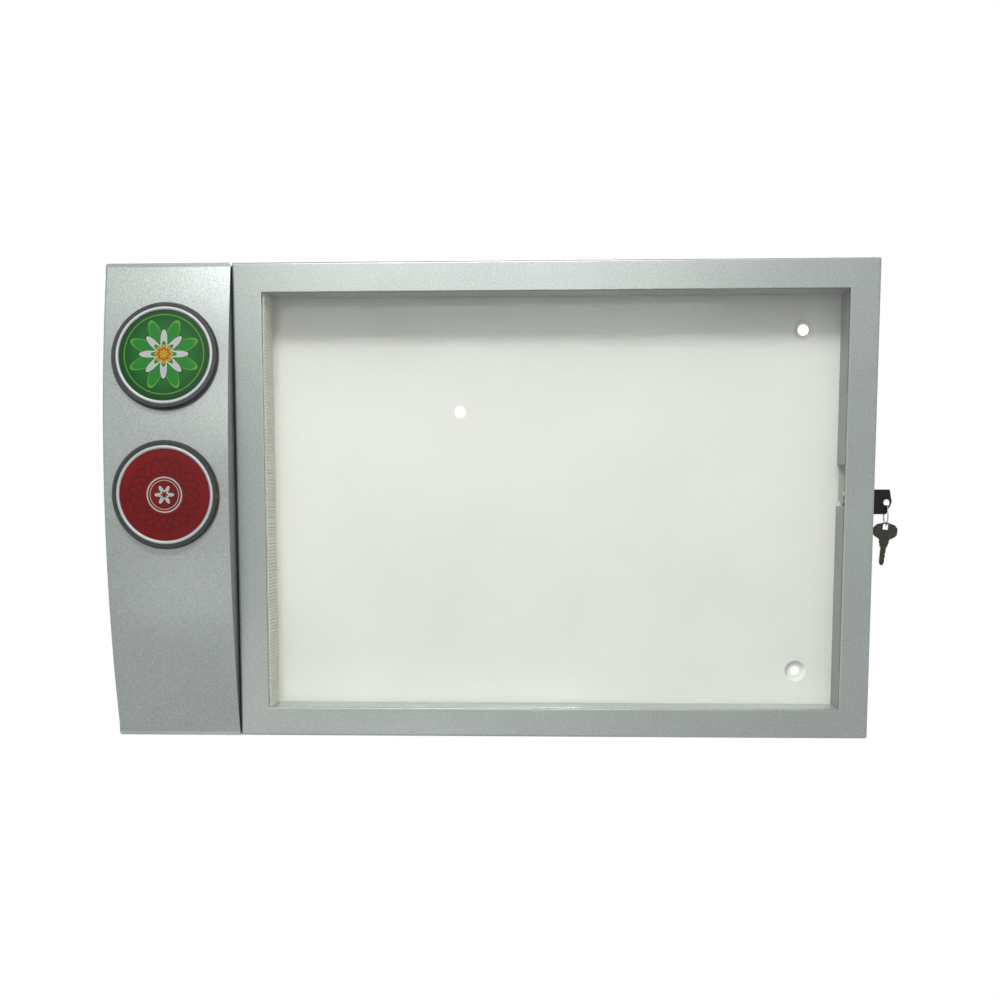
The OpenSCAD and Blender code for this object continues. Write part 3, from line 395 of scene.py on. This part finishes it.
def let_lamps_through(tree, shader):
    """Swaps the shader for a clear one for rays that look for a lamp."""
    output = next(n for n in tree.nodes if n.bl_idname == "ShaderNodeOutputMaterial")
    rays = add_node(tree, "ShaderNodeLightPath")
    clear = add_node(tree, "ShaderNodeBsdfTransparent", inputs={"Color": linear("#f4f6f4")})
    mix = add_node(tree, "ShaderNodeMixShader", inputs=[rays.outputs["Is Shadow Ray"], shader, clear])
    set_inputs(tree, output, {"Surface": mix})


def crests(tree, position, start, pitch):
    """A wave along an axis: 1 at the start and at every pitch from it, and 0 half-way."""
    moved = add_node(tree, MATH, {"operation": "SUBTRACT"}, [position, start])
    turn = add_node(tree, MATH, {"operation": "MULTIPLY"}, [moved, 2 * math.pi / pitch])
    wave = add_node(tree, MATH, {"operation": "COSINE"}, [turn])
    return add_node(tree, MATH, {"operation": "MULTIPLY_ADD"}, [wave, 0.5, 0.5])


def prism_acrylic(settings):
    """Prismatic acrylic, pressed in sheet: its pyramids break up what is behind them, and painted shade
    darkens it between their tips.
    """
    material, tree, shader = new_material("prism_acrylic")
    frost = speckle(tree, size_mm=1.5, low=0.02, high=0.1, detail=3.0)
    first_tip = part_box("diffuser_strip")[0]
    place = add_node(tree, "ShaderNodeTexCoord").outputs["Object"]
    parts = add_node(tree, "ShaderNodeSeparateXYZ", inputs=[place]).outputs
    rows = [crests(tree, parts[i], first_tip[i], settings.pitch) for i in (1, 2)]
    tips = add_node(tree, MATH, {"operation": "MULTIPLY"}, rows)
    # Painted shade: darker between the pyramids' tips, full tint on them
    colour = add_node(
        tree, MIX, COLOURS, {MIX_SHARE: tips, MIX_FIRST: settings.valley, MIX_SECOND: settings.tint}
    )
    set_inputs(
        tree,
        shader,
        {
            "Base Color": colour.outputs[MIX_RESULT],
            "Roughness": frost,
            "IOR": ACRYLIC_IOR,
            "Transmission Weight": 0.3,
        },
    )
    let_lamps_through(tree, shader)
    return material


def metal_finish(name, colour, shade, roughness, grain_mm, depth_mm, stretch=(1.0, 1.0, 1.0)):
    """A bare or plated metal: two tones in a grain of the given size, which also roughens it."""
    material, tree, shader = new_material(name)
    grain = speckle(tree, grain_mm, low=0.0, high=1.0, detail=4.0, stretch=stretch)
    tones = {MIX_SHARE: grain, MIX_FIRST: linear(colour), MIX_SECOND: linear(shade)}
    tinted = add_node(tree, MIX, COLOURS, tones)
    smooth, rough = roughness - 0.06, roughness + 0.08
    wear = speckle(tree, 12.0 * grain_mm, smooth, rough, stretch=stretch)
    relief = add_node(
        tree, "ShaderNodeBump", inputs={"Height": grain, "Distance": depth_mm * MM, "Strength": 0.4}
    )
    set_inputs(
        tree,
        shader,
        {
            "Base Color": tinted.outputs[MIX_RESULT],
            "Metallic": 1.0,
            "Roughness": wear,
            "Normal": relief,
        },
    )
    return material


def plastic_finish(name, colour, shade, roughness, grain_mm, depth_mm, specular=USUAL_SPECULAR):
    """A moulded plastic or rubber: nearly one tone, with the fine grain of its mould."""
    material, tree, shader = new_material(name)
    grain = speckle(tree, grain_mm, low=0.0, high=1.0, detail=3.0)
    tones = {MIX_SHARE: grain, MIX_FIRST: linear(colour), MIX_SECOND: linear(shade)}
    tinted = add_node(tree, MIX, COLOURS, tones)
    smooth, rough = roughness - 0.04, roughness + 0.06
    wear = speckle(tree, 15.0 * grain_mm, smooth, rough)
    relief = add_node(
        tree, "ShaderNodeBump", inputs={"Height": grain, "Distance": depth_mm * MM, "Strength": 0.3}
    )
    set_inputs(
        tree,
        shader,
        {
            "Base Color": tinted.outputs[MIX_RESULT],
            "Specular IOR Level": specular,
            "Roughness": wear,
            "Normal": relief,
        },
    )
    return material


def laminated_core():
    """Steel laminations, stacked and dipped in lacquer: dark lines between the sheets."""
    material, tree, shader = new_material("laminated_core")
    place = add_node(tree, "ShaderNodeTexCoord").outputs["Object"]
    # Real laminations are 0.5 mm thick. They are drawn thicker so that they show.
    sheet_mm = 1.2
    # The wave turns through 20 radians per unit, and half a turn makes one sheet.
    turns = math.pi / 20.0
    wave = add_node(
        tree,
        "ShaderNodeTexWave",
        {"bands_direction": "X"},
        {"Vector": place, "Scale": turns * per_mm(sheet_mm), "Distortion": 0.4},
    )
    lines = wave.outputs["Fac"]
    tones = {MIX_SHARE: lines, MIX_FIRST: linear("#55585b"), MIX_SECOND: linear("#8f9396")}
    tinted = add_node(tree, MIX, COLOURS, tones)
    lacquer = speckle(tree, size_mm=6.0, low=0.42, high=0.6)
    relief = add_node(
        tree, "ShaderNodeBump", inputs={"Height": lines, "Distance": 0.2 * MM, "Strength": 0.5}
    )
    set_inputs(
        tree,
        shader,
        {
            "Base Color": tinted.outputs[MIX_RESULT],
            "Metallic": 0.6,
            "Roughness": lacquer,
            "Normal": relief,
        },
    )
    return material


# Badge faces


def badge_plane(tree, height):
    """Distance from a badge's centre in mm, and the angle round it, in the plane of its face."""
    slope = math.asin(height / BOW_RADIUS)
    low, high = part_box("column_cover")
    centre = ((low[0] + high[0]) / 2, BOW_AXIS_Y - BOW_RADIUS * math.cos(slope), height)
    place = add_node(tree, "ShaderNodeTexCoord").outputs["Object"]
    # The mapping turns metres into mm in the face's plane, and squeezes its depth to nothing.
    face = add_node(
        tree,
        "ShaderNodeMapping",
        {"vector_type": "TEXTURE"},
        {"Vector": place, "Location": centre, "Rotation": (-slope, 0.0, 0.0), "Scale": (MM, METRE, MM)},
    )
    distance = add_node(tree, "ShaderNodeVectorMath", {"operation": "LENGTH"}, [face])
    parts = add_node(tree, "ShaderNodeSeparateXYZ", inputs=[face]).outputs
    angle = add_node(tree, MATH, {"operation": "ARCTAN2"}, [parts["Z"], parts["X"]])
    return distance.outputs["Value"], angle


def lobed_distance(tree, plane, lobes, radius, swing, turn=0.0):
    """How far a point lies outside a closed curve whose radius swings lobes times round."""
    distance, angle = plane
    phase = add_node(tree, MATH, {"operation": "MULTIPLY_ADD"}, [angle, float(lobes), turn])
    wave = add_node(tree, MATH, {"operation": "COSINE"}, [phase])
    edge = add_node(tree, MATH, {"operation": "MULTIPLY_ADD"}, [wave, swing, radius])
    return add_node(tree, MATH, {"operation": "SUBTRACT"}, [distance, edge])


def inside(tree, offset, soft_mm=0.25):
    """1 inside a curve and 0 outside it, with a soft edge."""
    edge = {"From Min": -soft_mm / 2, "From Max": soft_mm / 2, "To Min": 1.0, "To Max": 0.0}
    return add_node(tree, "ShaderNodeMapRange", inputs={"Value": offset, **edge})


def line_along(tree, offset, width_mm):
    """1 on a curve's line of the given width, 0 off it."""
    away = add_node(tree, MATH, {"operation": "ABSOLUTE"}, [offset])
    return inside(tree, add_node(tree, MATH, {"operation": "SUBTRACT"}, [away, width_mm / 2]))


def print_layers(tree, shader, ground, layers):
    """Inks laid over the ground from back to front, under a satin varnish with a faint ripple."""
    colour = ground
    for mask, ink in layers:
        layer = add_node(tree, MIX, COLOURS, {MIX_SHARE: mask, MIX_FIRST: colour, MIX_SECOND: ink})
        colour = layer.outputs[MIX_RESULT]
    ripple = speckle(tree, size_mm=8.0, low=0.0, high=1.0)
    varnish = add_node(
        tree, "ShaderNodeBump", inputs={"Height": ripple, "Distance": 0.02 * MM, "Strength": 0.3}
    )
    set_inputs(
        tree,
        shader,
        {"Base Color": colour, "Roughness": 0.4, "Specular IOR Level": 0.2, "Normal": varnish},
    )


def flower_face(settings, height):
    """Printed card: a flower of pale petals round a gold eye, on shaded green."""
    material, tree, shader = new_material("printed_green_card")
    plane = badge_plane(tree, height)
    petals = settings.petals
    fade = {"From Min": 8.0, "From Max": 35.0, "To Min": 0.0, "To Max": 1.0}
    shade = add_node(tree, "ShaderNodeMapRange", inputs={"Value": plane[0], **fade})
    half_turn = math.pi
    # From the back to the front: each shape, whose radius and swing are in mm, and its ink
    layers = [
        (shade, settings.leaf_dark),
        (inside(tree, lobed_distance(tree, plane, petals, 22.0, 7.0, half_turn)), settings.leaf_light),
        (inside(tree, lobed_distance(tree, plane, petals, 20.4, 6.6, half_turn)), settings.leaf_mid),
        (inside(tree, lobed_distance(tree, plane, petals, 14.6, 6.2)), settings.leaf_dark),
        (inside(tree, lobed_distance(tree, plane, petals, 13.6, 6.0)), settings.cream),
        (inside(tree, lobed_distance(tree, plane, petals, 8.2, 2.2)), settings.leaf_mid),
        (inside(tree, lobed_distance(tree, plane, petals, 6.8, 0.9)), settings.gold),
        (line_along(tree, lobed_distance(tree, plane, petals, 4.2, 0.6), 1.3), settings.orange),
        (line_along(tree, lobed_distance(tree, plane, 1, 31.6, 0.0), 0.8), settings.leaf_light),
    ]
    print_layers(tree, shader, settings.leaf_mid, layers)
    return material


def loop_face(settings, height):
    """Printed card: interlaced dark loops round a pale ring and a small star, on red."""
    material, tree, shader = new_material("printed_red_card")
    plane = badge_plane(tree, height)
    loops = settings.loops
    # From the back to the front: each shape, whose radius and swing are in mm, and its ink
    layers = [(speckle(tree, size_mm=30.0, low=0.0, high=0.3), settings.red_dark)]
    # Three wavy rings, each about a third of a lobe on from the last, interlace as loops.
    for turn in (0.0, 2.1, 4.2):
        curve = lobed_distance(tree, plane, loops, radius=22.5, swing=5.6, turn=turn)
        layers.append((line_along(tree, curve, width_mm=1.5), settings.red_dark))
    layers += [
        (line_along(tree, lobed_distance(tree, plane, 1, 13.6, 0.0), 1.1), settings.cream),
        (line_along(tree, lobed_distance(tree, plane, 1, 11.4, 0.0), 0.5), settings.cream),
        (inside(tree, lobed_distance(tree, plane, 6, 6.6, 2.6)), linear("#1c1413")),
        (inside(tree, lobed_distance(tree, plane, 6, 5.6, 2.4)), settings.cream),
        (inside(tree, lobed_distance(tree, plane, 6, 2.4, 0.7)), settings.red),
    ]
    print_layers(tree, shader, settings.red, layers)
    return material


# The prismatic strip


def prism_tree(material):
    """Geometry Nodes: a flat sheet with a field of square pyramids on one side, cut through their tips."""
    tree = bpy.data.node_groups.new("prism_sheet", "GeometryNodeTree")
    face = tree.interface
    for name in ("Width", "Height", "Thickness", "Pitch", "Depth"):
        socket = face.new_socket(name=name, in_out="INPUT", socket_type="NodeSocketFloat")
        socket.subtype = "DISTANCE"
        socket.min_value = 0.0
    face.new_socket(name="Geometry", in_out="OUTPUT", socket_type="NodeSocketGeometry")
    given = add_node(tree, "NodeGroupInput").outputs

    def count(size):
        """How many grid points stand half a pitch apart along a size, ends included."""
        doubled = add_node(tree, MATH, {"operation": "MULTIPLY"}, [size, 2.0])
        steps = add_node(tree, MATH, {"operation": "DIVIDE"}, [doubled, given["Pitch"]])
        whole = add_node(tree, MATH, {"operation": "ROUND"}, [steps])
        return add_node(tree, MATH, {"operation": "ADD"}, [whole, 1.0])

    columns, rows = count(given["Width"]), count(given["Height"])
    grid = add_node(
        tree,
        "GeometryNodeMeshGrid",
        inputs={
            "Size X": given["Width"],
            "Size Y": given["Height"],
            "Vertices X": columns,
            "Vertices Y": rows,
        },
    )
    lift = add_node(tree, "ShaderNodeCombineXYZ", inputs={"Z": given["Thickness"]})
    top = add_node(
        tree,
        "GeometryNodeExtrudeMesh",
        inputs={"Mesh": grid, "Offset": lift, "Offset Scale": 1.0, "Individual": False},
    )
    rear = add_node(tree, "GeometryNodeFlipFaces", inputs=[grid])
    joined = add_node(tree, "GeometryNodeJoinGeometry")
    # The one input of the join takes a link from each part.
    set_inputs(tree, joined, [top])
    set_inputs(tree, joined, [rear])
    closed = add_node(tree, "GeometryNodeMergeByDistance", inputs=[joined])

    spot = add_node(tree, "GeometryNodeInputPosition")
    along = add_node(tree, "ShaderNodeSeparateXYZ", inputs=[spot]).outputs

    def peak(position, size, points):
        """1 on every second grid line from the cut edge, and 0 between them."""
        part = add_node(tree, MATH, {"operation": "DIVIDE"}, [position, size])
        share = add_node(tree, MATH, {"operation": "ADD"}, [part, 0.5])
        steps = add_node(tree, MATH, {"operation": "SUBTRACT"}, [points, 1.0])
        line = add_node(tree, MATH, {"operation": "MULTIPLY_ADD"}, [share, steps, 1.0])
        return add_node(tree, MATH, {"operation": "PINGPONG"}, [line, 1.0])

    across = peak(along["X"], given["Width"], columns)
    upward = peak(along["Y"], given["Height"], rows)
    tips = add_node(tree, MATH, {"operation": "MULTIPLY"}, [across, upward])
    valley = add_node(tree, MATH, {"operation": "SUBTRACT"}, [1.0, tips])
    sink = add_node(tree, MATH, {"operation": "MULTIPLY"}, [valley, given["Depth"]])
    offset = add_node(tree, "ShaderNodeCombineXYZ", inputs={"Z": sink})
    half_up = add_node(tree, MATH, {"operation": "MULTIPLY"}, [given["Thickness"], 0.5])
    at_rear = add_node(tree, "FunctionNodeCompare", {"operation": "LESS_THAN"}, [along["Z"], half_up])
    pressed = add_node(
        tree,
        "GeometryNodeSetPosition",
        inputs={"Geometry": closed, "Selection": at_rear, "Offset": offset},
    )
    single = add_node(tree, "GeometryNodeRealizeInstances", inputs=[pressed])
    coated = add_node(tree, "GeometryNodeSetMaterial", inputs={"Geometry": single, "Material": material})
    add_node(tree, "NodeGroupOutput", inputs={"Geometry": coated})
    return tree


def grown_mesh(name, tree, values):
    """The mesh that a geometry tree makes with these inputs, as a new object."""
    seed = bpy.data.objects.new(name + "_seed", bpy.data.meshes.new(name + "_seed"))
    bpy.context.scene.collection.objects.link(seed)
    modifier = seed.modifiers.new("grow", "NODES")
    modifier.node_group = tree
    for item in tree.interface.items_tree:
        if item.in_out == "INPUT" and item.name in values:
            modifier[item.identifier] = values[item.name]
    grown = seed.evaluated_get(bpy.context.evaluated_depsgraph_get())
    mesh = bpy.data.meshes.new_from_object(grown)
    bpy.data.objects.remove(seed)
    result = bpy.data.objects.new(name, mesh)
    bpy.context.scene.collection.objects.link(result)
    return result


# Operators


class DISPLAYCASE_OT_skins(bpy.types.Operator):
    """Lacquer the column cover, the door frame and the liner angles"""

    bl_idname = "display_case.skins"
    bl_label = "Silver Skins"

    def execute(self, context):
        settings = context.scene.case_lacquer
        lacquer = silver_lacquer("silver_lacquer", settings)
        paint(lacquer, "column_cover", "door_frame", "liner_top", "liner_bottom")
        # Painted shade: a darker copy of the lacquer that mirrors less, for the shadow on the right liners
        shaded = silver_lacquer("shaded_lacquer", settings, settings.liner_painted_shade, settings.liner_sheen)
        paint(shaded, "liner_right_upper", "liner_right_lower")
        return {"FINISHED"}


class DISPLAYCASE_OT_enamel(bpy.types.Operator):
    """Enamel the back sheet, the band, the reflector and the diffuser's clips"""

    bl_idname = "display_case.enamel"
    bl_label = "White Enamel"

    def execute(self, context):
        enamel = white_enamel(context.scene.case_enamel)
        paint(enamel, "back_sheet", "side_band", "reflector", "diffuser_clips")
        return {"FINISHED"}


class DISPLAYCASE_OT_pane(bpy.types.Operator):
    """Make the door's pane clear"""

    bl_idname = "display_case.pane"
    bl_label = "Clear Pane"

    def execute(self, context):
        paint(clear_acrylic(), "glazing_pane")
        return {"FINISHED"}


class DISPLAYCASE_OT_prism_strip(bpy.types.Operator):
    """Press the diffuser strip's pyramids into a sheet of acrylic"""

    bl_idname = "display_case.prism_strip"
    bl_label = "Prismatic Strip"

    def execute(self, context):
        settings = context.scene.case_prisms
        low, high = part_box("diffuser_strip")
        size = [high[i] - low[i] for i in range(3)]
        values = {
            "Width": size[1],
            "Height": size[2],
            "Thickness": size[0],
            "Pitch": settings.pitch,
            "Depth": settings.depth,
        }
        strip = grown_mesh("prism_strip", prism_tree(prism_acrylic(settings)), values)
        middle = [(low[i] + high[i]) / 2 for i in range(3)]
        for vertex in strip.data.vertices:
            across, up, out = vertex.co
            vertex.co = (high[0] - out, middle[1] - across, middle[2] + up)
        finished(strip, "case", "prismatic_acrylic", "diffuser_strip")
        return {"FINISHED"}


class DISPLAYCASE_OT_badges(bpy.types.Operator):
    """Finish the badges' dark bodies, bright rings and printed faces"""

    bl_idname = "display_case.badges"
    bl_label = "Badges"

    def execute(self, context):
        settings = context.scene.case_badges
        # Moulded ABS: dark, and glossy enough to show the light along its rim.
        body = plastic_finish(
            "moulded_abs", "#333536", "#3d3f40", roughness=0.3, grain_mm=0.8, depth_mm=0.02
        )
        paint(body, "badge_bezel_upper", "badge_bezel_lower")
        # Metallised plastic: a pale satin ring.
        ring = metal_finish(
            "metallised_ring", "#acafae", "#a2a5a4", roughness=0.55, grain_mm=0.8, depth_mm=0.01
        )
        paint(ring, "badge_rings")
        for name, face in (("badge_disc_upper", flower_face), ("badge_disc_lower", loop_face)):
            low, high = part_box(name)
            paint(face(settings, (low[2] + high[2]) / 2), name)
        return {"FINISHED"}


class DISPLAYCASE_OT_steelwork(bpy.types.Operator):
    """Plate the strike, the hinge parts, the gear plate, the cam, and all screws and nuts"""

    bl_idname = "display_case.steelwork"
    bl_label = "Plated Steel"

    def execute(self, context):
        # Zinc plate on cold-rolled steel: bright grey with a faint blue bloom.
        zinc = metal_finish(
            "zinc_plate", "#c3c6c8", "#aeb2b6", roughness=0.32, grain_mm=1.4, depth_mm=0.03
        )
        paint(zinc, "hinge_brackets", "hinge_pins", "gear_plate", "lock_cam")
        paint(zinc, "cover_screws", "badge_nuts", "gear_screws", "liner_nuts", "lock_nut", "cam_screw")
        # Zinc under a passivating film: a dull beige grey that mirrors as little as a plastic.
        film = plastic_finish(
            "passivated_zinc", "#aead9f", "#a09f92", roughness=0.42, grain_mm=1.6, depth_mm=0.02
        )
        paint(film, "strike_plate")
        return {"FINISHED"}


class DISPLAYCASE_OT_lamp_gear(bpy.types.Operator):
    """Finish the lamp, its holders and its gear"""

    bl_idname = "display_case.lamp_gear"
    bl_label = "Lamp and Gear"

    def execute(self, context):
        # Glass coated inside with phosphor: an even, glossy white.
        glass = plastic_finish(
            "phosphor_glass", "#f3f4ef", "#eceee8", roughness=0.14, grain_mm=2.0, depth_mm=0.005
        )
        paint(glass, "lamp_tube")
        # Drawn aluminium: fine rings round the cap.
        cap = metal_finish(
            "drawn_aluminium",
            "#cfd1d2",
            "#bcbfc1",
            roughness=0.3,
            grain_mm=0.9,
            depth_mm=0.02,
            stretch=(0.15, 0.15, 1.0),
        )
        paint(cap, "lamp_caps")
        # Moulded thermoplastic: warm white with a fine spark grain.
        white = plastic_finish(
            "white_thermoplastic", "#eceae1", "#e2e0d6", roughness=0.4, grain_mm=0.7, depth_mm=0.03
        )
        paint(white, "lampholders", "starter_holder", "starter", "terminal_block", "hinge_washers")
        # Extruded vinyl: soft white leads.
        vinyl = plastic_finish(
            "lead_vinyl", "#e6e6df", "#dcdcd4", roughness=0.5, grain_mm=1.2, depth_mm=0.02
        )
        paint(vinyl, "internal_leads")
        paint(laminated_core(), "ballast")
        # Moulded rubber: matt black with a dusty bloom.
        rubber = plastic_finish(
            "moulded_rubber", "#161717", "#222423", roughness=0.72, grain_mm=0.9, depth_mm=0.05
        )
        paint(rubber, "cable_grommet")
        # Turned brass: warm, with fine tool marks.
        brass = metal_finish(
            "turned_brass", "#d0a956", "#b98f40", roughness=0.3, grain_mm=0.8, depth_mm=0.02
        )
        paint(brass, "earth_stud")
        return {"FINISHED"}


class DISPLAYCASE_OT_lock_keys(bpy.types.Operator):
    """Finish the cam lock, the key, the ring and the spare key"""

    bl_idname = "display_case.lock_keys"
    bl_label = "Lock and Keys"

    def execute(self, context):
        # Bright nickel on die-cast zinc: polished, with faint wear.
        nickel = metal_finish(
            "nickel_plate", "#c9c7c2", "#b5b3ae", roughness=0.2, grain_mm=0.9, depth_mm=0.01
        )
        paint(nickel, "lock_barrel", "lock_plug", "key_blade", "split_ring")
        # Moulded nylon: deep black, scuffed, with half the mirroring of a glossy plastic.
        nylon = plastic_finish(
            "black_nylon",
            "#090a0a",
            "#141514",
            roughness=0.3,
            grain_mm=1.6,
            depth_mm=0.3,
            specular=USUAL_SPECULAR / 2,
        )
        paint(nylon, "key_head")
        # Dark nickel on stamped steel: a brown-grey that is worn pale in spots.
        dark = metal_finish(
            "dark_nickel", "#4a4842", "#34332e", roughness=0.36, grain_mm=1.1, depth_mm=0.04
        )
        paint(dark, "spare_key")
        return {"FINISHED"}


class DISPLAYCASE_OT_stage(bpy.types.Operator):
    """Set the camera, the lights, the room and the floor"""

    bl_idname = "display_case.stage"
    bl_label = "Stage"

    def execute(self, context):
        settings = context.scene.case_stage
        context.scene.view_settings.view_transform = "Standard"
        set_camera(context.scene)
        set_lights(context.scene, settings)
        set_room(context.scene, settings)
        set_floor(context.scene, settings)
        return {"FINISHED"}


def set_camera(scene):
    """The camera, where the photograph was taken."""
    camera = bpy.data.objects.new("camera", bpy.data.cameras.new("camera"))
    camera.data.lens = CAMERA_LENS
    camera.data.sensor_width = CAMERA_SENSOR
    camera.data.shift_x, camera.data.shift_y = CAMERA_SHIFT
    camera.location = CAMERA_PLACE
    camera.rotation_euler = Euler([math.radians(a) for a in CAMERA_TURN])
    scene.collection.objects.link(camera)
    scene.camera = camera


def add_area_light(scene, name, power):
    """One of the lamps, turned towards the point that it faces."""
    place, aim, size = LAMPS[name]
    light = bpy.data.objects.new(name, bpy.data.lights.new(name, "AREA"))
    light.data.shape = "RECTANGLE"
    light.data.size, light.data.size_y = size
    light.data.energy = power
    light.location = place
    light.rotation_euler = (Vector(aim) - Vector(place)).to_track_quat("-Z", "Y").to_euler()
    light.visible_diffuse = name not in SHEEN_LAMPS
    scene.collection.objects.link(light)


def set_lights(scene, settings):
    """Every lamp, with its power from the setting of the same name."""
    for name in LAMPS:
        add_area_light(scene, name, getattr(settings, name))


def sees_background(tree):
    """1 for rays from the camera, in a mirror or through glass, and 0 for rays that gather light."""
    rays = add_node(tree, "ShaderNodeLightPath").outputs
    total = rays["Is Camera Ray"]
    for name in ("Is Glossy Ray", "Is Transmission Ray"):
        total = add_node(tree, MATH, {"operation": "MAXIMUM"}, [total, rays[name]])
    # A ray that has left a matt surface gathers light, also when it then goes through the pane.
    direct = add_node(tree, MATH, {"operation": "LESS_THAN"}, [rays["Diffuse Depth"], 0.5])
    return add_node(tree, MATH, {"operation": "MULTIPLY"}, [total, direct])


def set_room(scene, settings):
    """The room: even light for the case, and a plain background."""
    world = bpy.data.worlds.new("room")
    world.use_nodes = True
    tree = world.node_tree
    tree.nodes.clear()
    gather = add_node(
        tree, "ShaderNodeBackground", inputs={"Color": linear("#fbfcff"), "Strength": settings.fill}
    )
    seen = add_node(tree, "ShaderNodeBackground", inputs={"Color": settings.white, "Strength": 1.0})
    mix = add_node(tree, "ShaderNodeMixShader", inputs=[sees_background(tree), gather, seen])
    add_node(tree, "ShaderNodeOutputWorld", inputs={"Surface": mix})
    scene.world = world


def set_floor(scene, settings):
    """A round, pale floor below the case, which keeps its shadow."""
    material, tree, shader = new_material("floor_paint")
    grain = speckle(tree, size_mm=4.0, low=0.0, high=1.0)
    tones = {MIX_SHARE: grain, MIX_FIRST: linear("#b9b9b7"), MIX_SECOND: linear("#b4b4b2")}
    tinted = add_node(tree, MIX, COLOURS, tones)
    seen = sees_background(tree)
    glow = add_node(tree, MATH, {"operation": "MULTIPLY"}, [seen, settings.floor_glow])
    set_inputs(
        tree,
        shader,
        {
            "Base Color": tinted.outputs[MIX_RESULT],
            "Roughness": 0.8,
            "Emission Color": settings.white,
            "Emission Strength": glow,
        },
    )
    ring = []
    for i in range(FLOOR_SIDES):
        angle = 2 * math.pi * i / FLOOR_SIDES
        across = FLOOR_RADIUS * math.cos(angle)
        along = FLOOR_REAR_Y - FLOOR_RADIUS + FLOOR_RADIUS * math.sin(angle)
        ring.append((across, along, settings.floor_z))
    mesh = bpy.data.meshes.new("floor")
    mesh.from_pydata(ring, [], [list(range(FLOOR_SIDES))])
    mesh.materials.append(material)
    floor = bpy.data.objects.new("floor", mesh)
    scene.collection.objects.link(floor)


# Panel and start


OPERATORS = (
    DISPLAYCASE_OT_skins,
    DISPLAYCASE_OT_enamel,
    DISPLAYCASE_OT_pane,
    DISPLAYCASE_OT_prism_strip,
    DISPLAYCASE_OT_badges,
    DISPLAYCASE_OT_steelwork,
    DISPLAYCASE_OT_lamp_gear,
    DISPLAYCASE_OT_lock_keys,
    DISPLAYCASE_OT_stage,
)

SETTINGS = {
    "case_lacquer": SilverLacquer,
    "case_enamel": WhiteEnamel,
    "case_prisms": PrismStrip,
    "case_badges": BadgeFaces,
    "case_stage": StageLight,
}


class DISPLAYCASE_PT_panel(bpy.types.Panel):
    """Settings and pieces of the display case"""

    bl_idname = "DISPLAYCASE_PT_panel"
    bl_label = "Display Case"
    bl_space_type = "VIEW_3D"
    bl_region_type = "UI"
    bl_category = "Display Case"

    def draw(self, context):
        for name, group in SETTINGS.items():
            box = self.layout.box()
            for prop in group.__annotations__:
                box.prop(getattr(context.scene, name), prop)
        for operator in OPERATORS:
            self.layout.operator(operator.bl_idname)


def register():
    """Registers the settings, the operators and the panel."""
    for name, group in SETTINGS.items():
        bpy.utils.register_class(group)
        setattr(bpy.types.Scene, name, PointerProperty(type=group))
    for cls in (*OPERATORS, DISPLAYCASE_PT_panel):
        bpy.utils.register_class(cls)


def unregister():
    """Takes out what register put in."""
    for cls in (DISPLAYCASE_PT_panel, *reversed(OPERATORS)):
        bpy.utils.unregister_class(cls)
    for name, group in SETTINGS.items():
        delattr(bpy.types.Scene, name)
        bpy.utils.unregister_class(group)


def main():
    """Makes every piece in turn."""
    register()
    for operator in OPERATORS:
        group, name = operator.bl_idname.split(".")
        getattr(getattr(bpy.ops, group), name)()


if __name__ == "__main__":
    main()
